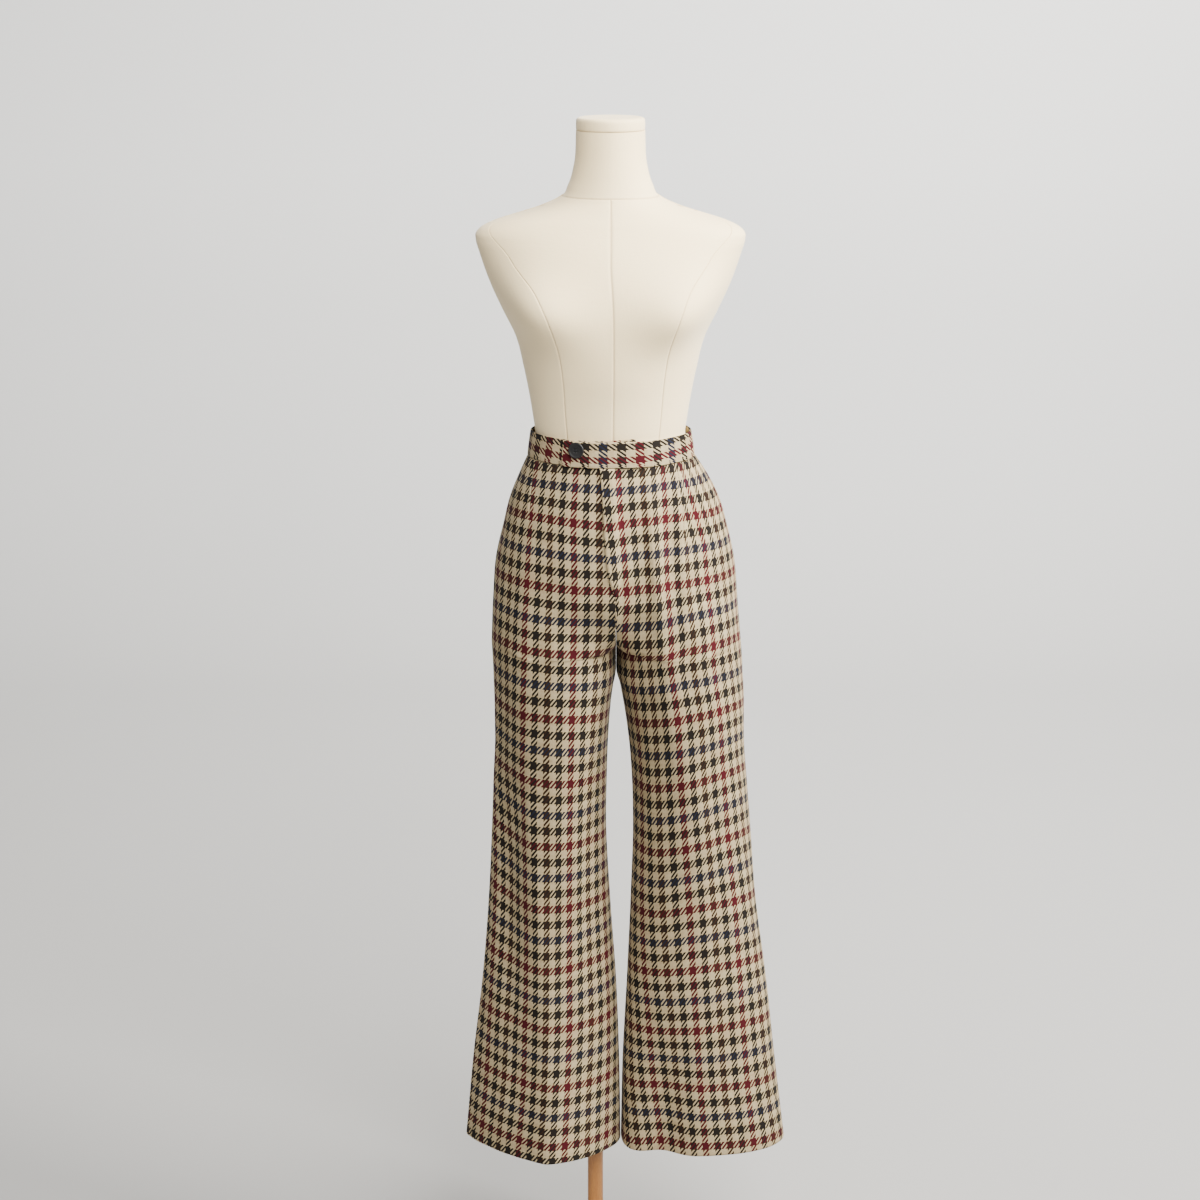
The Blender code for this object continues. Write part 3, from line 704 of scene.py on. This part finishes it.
def leg(side, name, height):
    value = read(LEFT_LEG if side > 0 else RIGHT_LEG, LEG_COLUMNS, name, height)
    return value / MM if name.endswith("power") else value


def hip_depth(front_half, x, height):
    """How far the hip's ellipse lies in front of, or behind, its side at x."""
    side_y = hip("side_y", height)
    depth = np.where(front_half, hip("front_y", height), hip("back_y", height)) - side_y
    away = np.clip((x - hip("centre_x", height)) / hip("half_width", height), -1, 1)
    return depth * np.sqrt(1 - away**2)


def section(side, u, height):
    """One ring of a trouser half, from the centre front or inseam (u = 0) over the crease (0.25), the side
    seam (0.5) and the back (0.75) to the centre back or inseam (1). A leg's quarters are |x/a|^p + |y/b|^p
    = 1, the hip's are stretches of one wide ellipse, and between them the inner quarters turn under along
    the crotch curve."""
    above = height > CROTCH
    front_half = u < 0.5
    inner_half = (u < 0.25) | (u > 0.75)
    centre_x = hip("centre_x", height)
    inner_x = np.where(above, centre_x, leg(side, "inner_x", height))
    hip_edge = centre_x + side * hip("half_width", height)
    outer_x = np.where(above, hip_edge, leg(side, "outer_x", height))
    back_crease = inner_x + (outer_x - inner_x) * BACK_CREASE_SHARE
    crease_x = np.where(front_half, leg(side, "crease_x", height), back_crease)
    edge_x = np.where(inner_half, inner_x, outer_x)
    away = np.abs(np.cos(2 * np.pi * u))
    x = crease_x + (edge_x - crease_x) * away

    curve = np.where(front_half, FRONT_CROTCH_CURVE, BACK_CROTCH_CURVE)
    rise = np.clip((height - CROTCH) / curve, 0, 1)
    under = 1 - np.sqrt(1 - (1 - rise) ** 2)
    outward = smooth_step((CROTCH + THIGH_BLEND - height) / THIGH_BLEND)
    share = np.where(inner_half, 1 - rise**2, outward)

    side_y = np.where(above, hip("side_y", height), leg(side, "side_y", height))
    at_crease = hip_depth(front_half, crease_x, height)
    at_edge = hip_depth(front_half, edge_x, height)
    hip_form = (hip_depth(front_half, x, height) - at_edge) / (at_crease - at_edge)
    power = np.where(inner_half, leg(side, "inner_power", height), leg(side, "outer_power", height))
    power = np.where(front_half, power, BACK_POWER)
    leg_form = (1 - away**power) ** (1 / power)

    leg_top = np.where(front_half, leg(side, "front_y", height), leg(side, "back_y", height))
    top_y = (1 - outward) * (side_y + at_crease) + outward * leg_top
    inner_y = (1 - under) * (side_y + at_edge) + under * leg(side, "inseam_y", height)
    edge_y = np.where(inner_half, inner_y, side_y)
    return x, edge_y + (top_y - edge_y) * ((1 - share) * hip_form + share * leg_form)


def fold_depth(side, face, u, x, height):
    """Sum of the folds: a bell across each fold, times a fade down it, and nothing at the seams."""
    depth = np.zeros(x.shape)
    for fold in FOLDS:
        row = dict(zip(FOLD_COLUMNS, fold))
        if (row["leg"], row["face"]) == (side, face):
            middle = row["foot_x"] * MM + row["lean"] * (height - row["foot"] * MM)
            bell = np.exp(-(((x - middle) / (row["width"] * MM)) ** 2))
            fade = smooth_step((row["top"] * MM - height) / ((row["top"] - row["foot"]) * MM))
            depth += row["depth"] * MM * bell * fade
    for fold in SOFT_FOLDS:
        row = dict(zip(SOFT_FOLD_COLUMNS, fold))
        if (row["leg"], row["face"]) == (side, face):
            middle = row["middle_x"] * MM + row["lean"] * (height - row["middle"] * MM)
            bell = np.exp(-(((x - middle) / (row["width"] * MM)) ** 2))
            fade = np.exp(-(((height - row["middle"] * MM) / (row["reach"] * MM)) ** 2))
            depth += row["depth"] * MM * bell * fade
    return -face * depth * np.sqrt(np.abs(np.sin(2 * np.pi * u)))


def row_heights(curve):
    """Heights of a panel's rings: even down the hips and the leg, by even turns round the crotch curve, and
    close together at the hem's fold."""
    hips = np.linspace(WAIST_SEAM - SEAM_GAP, CROTCH + curve, 84)
    top = WAIST_SEAM - SEAM_GAP - CLOSE_COLUMNS
    turns = np.radians(np.linspace(0, 90, 33))[1:]
    crotch = CROTCH + curve * (1 - np.sin(turns))
    legs = np.linspace(CROTCH, HEM + 5 * MM, 216)[1:]
    hem = HEM + np.array([3.2, 2.0, 1.2, 0.6, 0.25, 0]) * MM
    return -np.sort(-np.concatenate([hips, top, crotch, legs, hem]))


def columns_between(start, end):
    """Places along the cloth from start to end: close ones at both ends, for the rolled seams, and even
    ones between."""
    start, end = start[:, None], end[:, None]
    even = np.linspace(0, 1, EVEN_COLUMNS)[1:-1]
    inside = start + CLOSE_COLUMNS[-1] + (end - start - 2 * CLOSE_COLUMNS[-1]) * even
    return np.concatenate([start, start + CLOSE_COLUMNS, inside, end - CLOSE_COLUMNS[::-1]], axis=1)


def by_row(places, lengths, values):
    """Values read at places along each row, by the row's own running length."""
    rows = zip(places, lengths, values)
    return np.stack([np.interp(place, length, value) for place, length, value in rows])


def lap_points(heights):
    """Points of the fly's lap: the other front's ellipse, from the fold edge to the centre."""
    width = FLY_LAP * np.clip(1 - (np.maximum(0, WAIST_SEAM - heights) / FLY_FALL) ** 4, 1e-4, 1)
    away = width[:, None] * np.linspace(1, 0.02, 14)
    turn = np.arcsin(away / hip("half_width", heights)[:, None])
    x = hip("centre_x", heights)[:, None] - hip("half_width", heights)[:, None] * np.sin(turn)
    side_y = hip("side_y", heights)[:, None]
    y = side_y - (side_y - hip("front_y", heights)[:, None]) * np.cos(turn)
    return x, y


def panel_rows(name, side, face, heights):
    """Fine rings of one panel, from the centre or inseam (or the fly's edge) to the side seam."""
    u = np.linspace(0, 0.5, 361) if face < 0 else np.linspace(1, 0.5, 361)
    u, height = np.broadcast_arrays(u[None, :], heights[:, None])
    x, y = section(side, u, height)
    y = y + fold_depth(side, face, u, x, height)
    if name == "front_left":
        lap_x, lap_y = lap_points(heights)
        fly = (heights > WAIST_SEAM - FLY_FALL)[:, None]
        lap_x = np.where(fly, lap_x, x[:, :1] - 1e-7 * np.linspace(14, 1, 14))
        lap_y = np.where(fly, lap_y, y[:, :1])
        x, y = np.concatenate([lap_x, x], axis=1), np.concatenate([lap_y, y], axis=1)
        foot = smooth_step((heights - (WAIST_SEAM - FLY_FALL)) / (22 * MM))[:, None]
        past = (x - hip("centre_x", heights)[:, None]) / FLY_FADE
        y = y - FLY_LIFT * foot * (1 - smooth_step(past))
    return x, y


def unevenness(places, heights, seed):
    """Slow waves of under a millimetre, so that no stretch of cloth is perfectly smooth: a sum of four
    sines of the place along and down the cloth."""
    turn = np.random.default_rng(seed).uniform(0, 2 * np.pi, 4)
    z = heights[:, None]
    return (
        0.30 * np.sin(places * 95 + 9 * z + turn[0])
        + 0.25 * np.sin(places * 52 - 14 * z + turn[1])
        + 0.18 * np.sin(places * 150 + 31 * z + turn[2])
        + 0.14 * np.sin(places * 23 + 60 * z + turn[3])
    ) * MM


def pull(name, way, share, heights):
    """How far the weave is pulled at a share of each row's length: a cubic curve through the row's five
    values."""
    if name not in PULLS:
        return np.zeros(share.shape)
    places = [f"{way}_{place}" for place in range(5)]
    five = np.stack([read(PULLS[name], PULL_COLUMNS, place, heights) for place in places], axis=1)
    ends = 2 * five[:, [0, -1]] - five[:, [1, -2]]
    seven = np.concatenate([ends[:, :1], five, ends[:, 1:]], axis=1)
    low = np.clip(np.floor(share * 4), 0, 3).astype(int)
    t = share * 4 - low
    before, start, end, after = (np.take_along_axis(seven, low + step, axis=1) for step in range(4))
    bend = 2 * before - 5 * start + 4 * end - after + t * (3 * (start - end) + after - before)
    return start + 0.5 * t * (end - before + t * bend)


def cloth_shell(name, points, normals, wall, uv):
    """A closed thin shell: the outer grid, the same grid a wall inward, and a rim round the edge."""
    rows, columns = points.shape[:2]
    count = rows * columns
    inner = points - wall[..., None] * normals
    index = np.arange(count).reshape(rows, columns)
    edge = np.concatenate([index[0, :-1], index[:-1, -1], index[-1, :0:-1], index[:0:-1, 0]])
    after = np.roll(edge, -1)
    quads = grid_quads(rows, columns)
    rim = np.stack([edge, after, after + count, edge + count], axis=-1)
    faces = np.concatenate([quads, quads[:, ::-1] + count, rim])
    everything = np.concatenate([points.reshape(-1, 3), inner.reshape(-1, 3)])
    obj = make_mesh(name, everything, faces, np.concatenate([uv.reshape(-1, 2)] * 2))
    shell = bmesh.new()
    shell.from_mesh(obj.data)
    bmesh.ops.recalc_face_normals(shell, faces=shell.faces)
    shell.to_mesh(obj.data)
    shell.free()
    obj.data.set_sharp_from_angle(angle=math.radians(55))
    return obj


def tweed(name):
    """Houndstooth check in a 2 over 2 twill: six dark and six cream threads each way, on the cloth's own
    lengths. The warp shows where its count less the weft's is under 2 in each four, else the weft; the dark
    threads are drawn a little wider than half, showing over 2.3, as painted shade between the yarns that
    darkens the mixed blocks. The dark warp goes red, black, brown, black, the weft red, black, navy, black."""
    material, shader, place = new_finish(
        name, {"Roughness": 0.95, "Sheen Weight": 0.05, "Sheen Roughness": 0.35, "Specular IOR Level": 0.06}
    )
    cloth = place.node("ShaderNodeUVMap", {"uv_map": "cloth"}, {})
    wobble = cloth.noise(160, 2)
    split = cloth.node("ShaderNodeSeparateXYZ", {}, {0: cloth}, 0)
    split_v = Wire(split.output.node.outputs[1])
    warp = split / WARP_THREAD + 3 + (wobble - 0.5) * 0.3
    weft = split_v / WEFT_THREAD + 3 + (wobble - 0.5) * 0.3
    warp_number = warp.math("FLOOR")
    weft_number = weft.math("FLOOR")
    # Painted shade between the yarns: the dark thread shows over 2.3 of each four instead of 2, which darkens
    # the mixed blocks.
    painted_shade_widening = ((warp_number % 12 < 6) - (weft_number % 12 < 6)) * 0.3
    over = (warp - weft) % 4 < painted_shade_widening + 2
    patch = (cloth.noise(75, 1) * 2.2 - 0.6).math("MINIMUM", 1).math("MAXIMUM", 0)

    def threads(number, third):
        """Colour of one way's threads: cream for the light six, else the colour of its group of twelve."""
        group = (number / 12).math("FLOOR") % 4
        odd = group % 2
        colour = odd.between((group < 1).between(third, RED), BLACK)
        tone = number.node("ShaderNodeTexWhiteNoise", {"noise_dimensions": "1D"}, {"W": number})
        cream = (tone * 0.45 + patch * 0.55).between(CREAM, CREAM_SHADE)
        return (number % 12 < 6).between(cream, colour)

    shown = over.between(threads(weft_number, NAVY), threads(warp_number, BROWN))
    fuzz = cloth.noise(900, 2)
    (fuzz * 0.03).between(shown, (0.40, 0.32, 0.22, 1)).feed(shader, "Base Color")
    along_warp = (warp % 1 - 0.5).math("ABSOLUTE") * 2
    along_weft = (weft % 1 - 0.5).math("ABSOLUTE") * 2
    round_yarn = 1 - (over * along_warp + (1 - over) * along_weft).math("POWER", 2)
    (round_yarn * 0.6 + fuzz * 0.2).raise_normal(shader, 0.12 * MM)
    return material


WARP_THREAD = 17.9 / 12 * MM
WEFT_THREAD = NOMINAL_REPEAT / 48 * MM
CREAM = (0.41, 0.33, 0.195, 1)
CREAM_SHADE = (0.29, 0.215, 0.118, 1)
BLACK = (0.006, 0.005, 0.0045, 1)
BROWN = (0.020, 0.008, 0.004, 1)
RED = (0.048, 0.0020, 0.006, 1)
NAVY = (0.006, 0.009, 0.020, 1)


def make_panel(name, side, face, seed):
    cut = dict(zip(CUT_COLUMNS, CUTS[name]))
    heights = row_heights(FRONT_CROTCH_CURVE if face < 0 else BACK_CROTCH_CURVE)
    x, y = panel_rows(name, side, face, heights)
    step = np.hypot(np.diff(x, axis=1), np.diff(y, axis=1))
    length = np.concatenate([np.zeros((len(heights), 1)), np.cumsum(step, axis=1)], axis=1)
    fall = WAIST_SEAM - heights
    grain_x = cut["grain_x"] * MM + side * cut["grain_lean"] * MM * fall
    dart_fall = np.minimum(fall, 60 * MM) + 0.5 * np.maximum(0, fall - 60 * MM)
    dart_x = cut["dart_x"] * MM + side * cut["dart_lean"] * MM * dart_fall
    grain = np.array([np.interp(side * g, side * row, run) for g, row, run in zip(grain_x, x, length)])
    dart = np.array([np.interp(side * d, side * row, run) for d, row, run in zip(dart_x, x, length)])
    dart = np.clip(dart, DART_MARGIN, length[:, -1] - DART_MARGIN)
    inner_part = columns_between(np.zeros_like(dart), dart)
    outer_part = columns_between(dart, length[:, -1])
    places = np.concatenate([inner_part, outer_part, length[:, -1:]], axis=1)
    level_z = np.broadcast_to(heights[:, None], places.shape)
    points = np.stack([by_row(places, length, x), by_row(places, length, y), level_z], axis=-1)
    normals = grid_normals(points)

    # Seams, darts, hem and waist edge roll in by up to a millimetre, and slow waves run over the rest
    inner_edge, side_edge = places, length[:, -1:] - places
    hem_edge, waist_edge = (heights - HEM)[:, None], (WAIST_SEAM - SEAM_GAP - heights)[:, None]
    edges = (inner_edge, side_edge, hem_edge, waist_edge)
    roll = sum(np.exp(-((edge / ROLL_WIDTH) ** 2)) for edge in edges)
    open_dart = np.clip((heights - cut["dart_tip"] * MM) / (WAIST_SEAM - cut["dart_tip"] * MM), 0, 1)
    pinch = np.exp(-(((places - dart[:, None]) / ROLL_WIDTH) ** 2)) * smooth_step(open_dart * 3)[:, None]
    puff = np.exp(-(((places - dart[:, None]) / PUFF_WIDTH) ** 2)) * smooth_step(open_dart * 2)[:, None]
    soft = np.clip(np.minimum(inner_edge, side_edge) / (12 * MM), 0, 1)
    calm = np.where(heights > CALM_ABOVE, 0.35, 1.0)[:, None]
    waves = unevenness(places, heights, seed) * soft * calm
    away = -SEAM_ROLL * np.minimum(1, roll + pinch) + PUFF_HEIGHT * puff + waves
    points = points + away[..., None] * normals

    # The centre edge keeps off the centre plane, and the inseam's edge off its partner, by half a seam gap
    above = heights >= CROTCH
    together = (heights >= LEGS_PART) & ~(above & (name == "front_left"))
    centre = hip("centre_x", heights[together])[:, None]
    from_centre = side * (points[together, :, 0] - centre)
    points[together, :, 0] = centre + side * np.maximum(SEAM_GAP / 2, from_centre)
    points[~above, 0, 1] += face * SEAM_GAP / 2
    normals = grid_normals(points)
    wall = np.where(heights < HEM + HEM_TURN_UP, 2 * CLOTH_WALL, CLOTH_WALL)[:, None] * np.ones(places.shape)
    taken = (cut["dart_take"] * MM * open_dart)[:, None]
    outward = places - grain[:, None] + np.where(places >= dart[:, None], taken, 0)
    share = places / length[:, -1:]
    across = -side * face * (outward + pull(name, "column", share, heights))
    level = (heights[:, None] - cut["row_z"] * MM) * NOMINAL_REPEAT / cut["hang"]
    up = level + pull(name, "row", share, heights) - cut["tilt"] * (places - grain[:, None])
    panel = cloth_shell(name + "_cloth", points, normals, wall, np.stack([across, up], axis=-1))
    panel.data.materials.append(tweed(name + "_tweed"))
    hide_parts(name)
    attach(panel, "root")


make_panel("front_left", 1, -1, 3)
make_panel("front_right", -1, -1, 5)
make_panel("back_left", 1, 1, 8)
make_panel("back_right", -1, 1, 13)


# Waistband: one strip of the same cloth cut across the grain, folded over a stiffener and sewn on at its
# lower edge. It starts with the underlap at the front, goes once round the waist and ends in the tab that
# lies over it.

BAND_TOP = 1345.3 * MM
BAND_WALL = 2.8 * MM
BAND_HALF_WIDTHS = (116 * MM, 111 * MM)
BAND_FRONTS = (86 * MM, 83 * MM)
BAND_BACKS = (84 * MM, 81 * MM)
BAND_CENTRES_X = (22.5 * MM, 22.3 * MM)
BAND_LAYER_GAP = 0.4 * MM
UNDERLAP_END_X = 57 * MM
UNDERLAP_RISE = 3 * MM
TAB_END_X = -45 * MM
LIFT_FROM = 305
LIFT_OVER = 30
TAB_DROP = 0.6 * MM
DROP_FROM = 352
DROP_OVER = 22
BAND_EDGE = 1.3 * MM
BAND_RED_X = -37.5 * MM
BAND_RED_HEIGHT = 11 * MM
BAND_RED_RISE = 5.5 * MM
UNDERLAP_RED_X = -64.7 * MM


def band_turn(x):
    return np.degrees(np.arcsin((x - BAND_CENTRES_X[0]) / BAND_HALF_WIDTHS[0]))


def band_place(turn, out, rise):
    """Points of the band's ellipse at turns in degrees, moved out from the body along its normal. The
    ellipse narrows from the seam (rise 0) to the top edge (rise 1)."""
    turn = np.radians(turn)
    half_width, front, back, centre_x = (
        low + rise * (top - low) for low, top in (BAND_HALF_WIDTHS, BAND_FRONTS, BAND_BACKS, BAND_CENTRES_X)
    )
    depth = np.where(np.cos(turn) > 0, front, back)
    nx, ny = np.sin(turn) / half_width, -np.cos(turn) / depth
    size = np.hypot(nx, ny)
    x = centre_x + half_width * np.sin(turn)
    return x + out * nx / size, -depth * np.cos(turn) + out * ny / size


def band_profile(height):
    """The strip's cross-section as a closed loop of (out, up): up the outer face, over the folded top edge,
    down the inner face and round the lower edge. Both faces have the same heights, so the ends can
    close."""
    bend = np.radians(np.linspace(0, 180, 9))
    faces = np.linspace(BAND_EDGE, height - BAND_EDGE, 15)[1:-1]
    half = BAND_WALL / 2
    puff = 0.25 * MM * np.sin(np.pi * (faces / height))
    top = np.stack([half * np.cos(bend) - half, height - BAND_EDGE + BAND_EDGE * np.sin(bend)], axis=-1)
    low = np.stack([-half * np.cos(bend) - half, BAND_EDGE - BAND_EDGE * np.sin(bend)], axis=-1)
    outer = np.stack([puff, faces], axis=-1)
    inner = np.stack([np.full(len(faces), -BAND_WALL), faces[::-1]], axis=-1)
    return np.concatenate([outer, top, inner, low, outer[:1]])


def make_waistband():
    start, end = band_turn(UNDERLAP_END_X), band_turn(TAB_END_X) - 360
    turns = np.linspace(start, end, 641)
    x, y = band_place(turns, 0.0, 0.5)
    run = np.concatenate([[0], np.cumsum(np.hypot(np.diff(x), np.diff(y)))])
    ends = np.array([0, 0.1, 0.35, 0.75, 1.3]) * MM
    run_rows = np.unique(np.concatenate([ends, np.linspace(3 * MM, run[-1] - 3 * MM, 420), run[-1] - ends]))
    turns = np.interp(run_rows, run, turns)
    to_end = np.minimum(run_rows, run[-1] - run_rows)
    thick = np.sqrt(1 - (1 - np.clip(to_end / ends[-1], 0, 1)) ** 2)
    tab = smooth_step((-turns - LIFT_FROM) / LIFT_OVER)
    lift = (BAND_WALL + BAND_LAYER_GAP) * tab
    height = BAND_TOP - WAIST_SEAM + UNDERLAP_RISE * smooth_step((turns + start) / (2 * start))
    drop = -TAB_DROP * smooth_step((-turns - DROP_FROM) / DROP_OVER)
    profile = band_profile(BAND_TOP - WAIST_SEAM)
    out = profile[None, :, 0] * thick[:, None] - BAND_WALL / 2 * (1 - thick)[:, None] + lift[:, None]
    wave = 0.25 * MM * np.sin(run_rows * 75) + 0.2 * MM * np.sin(run_rows * 31 + 1)
    px, py = band_place(turns[:, None], out + wave[:, None], profile[None, :, 1] / (BAND_TOP - WAIST_SEAM))
    up = profile[None, :, 1] * (height / (BAND_TOP - WAIST_SEAM))[:, None]
    points = np.stack([px, py, WAIST_SEAM + drop[:, None] + up], axis=-1)
    loop = np.concatenate([[0], np.cumsum(np.hypot(*np.diff(profile, axis=0).T))]) + profile[0, 1]
    red = np.interp(360 - band_turn(BAND_RED_X), -turns, run_rows)
    first_red = np.interp(-band_turn(UNDERLAP_RED_X), -turns, run_rows)
    repeat = 48 * WEFT_THREAD
    repeats = round((red - first_red) / repeat)
    along = (run_rows - red) * repeats * repeat / (red - first_red)
    red_height = BAND_RED_HEIGHT + BAND_RED_RISE * np.sin(np.radians(turns)) ** 2
    uv = np.stack(np.broadcast_arrays(loop[None, :] - red_height[:, None], along[:, None]), axis=-1)
    rows, columns = points.shape[:2]
    band = make_mesh("waistband_strip", points.reshape(-1, 3), grid_quads(rows, columns), uv.reshape(-1, 2))
    weld(band, 75)
    band.data.materials.append(tweed("waistband_tweed"))
    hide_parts("waistband")
    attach(band, "root")


make_waistband()


# Button: a dark moulded button 22 mm across, dished inside its rim, with four holes, sewn on the underlap
# and showing through the tab's buttonhole.

BUTTON_X = -25 * MM
BUTTON_Z = 1333 * MM
BUTTON_PROFILE = (
    (0, 0), (8.5, 0), (10.4, 0.4), (11, 1.2), (11, 2.2),
    (10.7, 2.9), (10.0, 3.2), (9.3, 3.15), (8.6, 2.8), (7.8, 2.45),
)
HOLE_PLACE = 1.9 * MM
HOLE_SIZE = 0.95 * MM
HOLE_DEPTH = 1.6 * MM


def lay_on_tab(points):
    """Turns points whose z is out from the tab to face the way that the band faces at the button, leans
    them back as the band leans, and moves them."""
    out = BAND_WALL + BAND_LAYER_GAP + SEAM_GAP
    turn = band_turn(BUTTON_X)
    rise = (BUTTON_Z - WAIST_SEAM) / (BAND_TOP - WAIST_SEAM)
    x, y = band_place(turn, out, rise)
    x1, y1 = band_place(turn, out + 1.0, rise)
    nx, ny = x1 - x, y1 - y
    low, top = np.array([band_place(turn, out, 0), band_place(turn, out, 1)])
    lean = math.atan2((low - top) @ (nx, ny), BAND_TOP - WAIST_SEAM)
    across, up, forward = points[..., 0], points[..., 1], points[..., 2]
    ahead = forward * math.cos(lean) - up * math.sin(lean)
    raised = up * math.cos(lean) + forward * math.sin(lean)
    return np.stack([x - ny * across + nx * ahead, y + nx * across + ny * ahead, BUTTON_Z + raised], axis=-1)


def make_button():
    """The profile is carried round, and four wells with the form of exp(-(r/a)^4) sink the middle."""
    profile = np.array(BUTTON_PROFILE) * MM
    dish = np.linspace(7.4, 0, 36) * MM
    dish_height = 2.15 * MM + 0.3 * MM * (dish / (7.8 * MM)) ** 2
    profile = np.concatenate([profile, np.stack([dish, dish_height], axis=-1)])
    around = 96
    points = turned_points(profile, 0.0, around)
    flat_x, flat_y = points[..., 0], points[..., 1]
    wells = sum(
        np.exp(-((np.hypot(flat_x - a * HOLE_PLACE, flat_y - b * HOLE_PLACE) / HOLE_SIZE) ** 4))
        for a in (-1, 1)
        for b in (-1, 1)
    )
    middle = (np.arange(len(profile)) >= len(BUTTON_PROFILE))[:, None]
    points[..., 2] -= HOLE_DEPTH * wells * middle
    points = lay_on_tab(points)
    button = make_mesh("dark_button", points.reshape(-1, 3), grid_quads(len(profile), around, wraps=True))
    weld(button, 50)
    gloss = {"Specular IOR Level": 0.3, "Coat Weight": 0.06, "Coat Roughness": 0.2}
    material, shader, place = new_finish("dark_plastic", gloss)
    cloud = place.noise(260, 3)
    cloud.between((0.004, 0.004, 0.005, 1), (0.012, 0.011, 0.010, 1)).feed(shader, "Base Color")
    (0.38 + place.noise(900, 2) * 0.18).feed(shader, "Roughness")
    place.noise(700, 2).raise_normal(shader, 0.03 * MM)
    button.data.materials.append(material)
    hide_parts("button")
    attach(button, "root")


make_button()
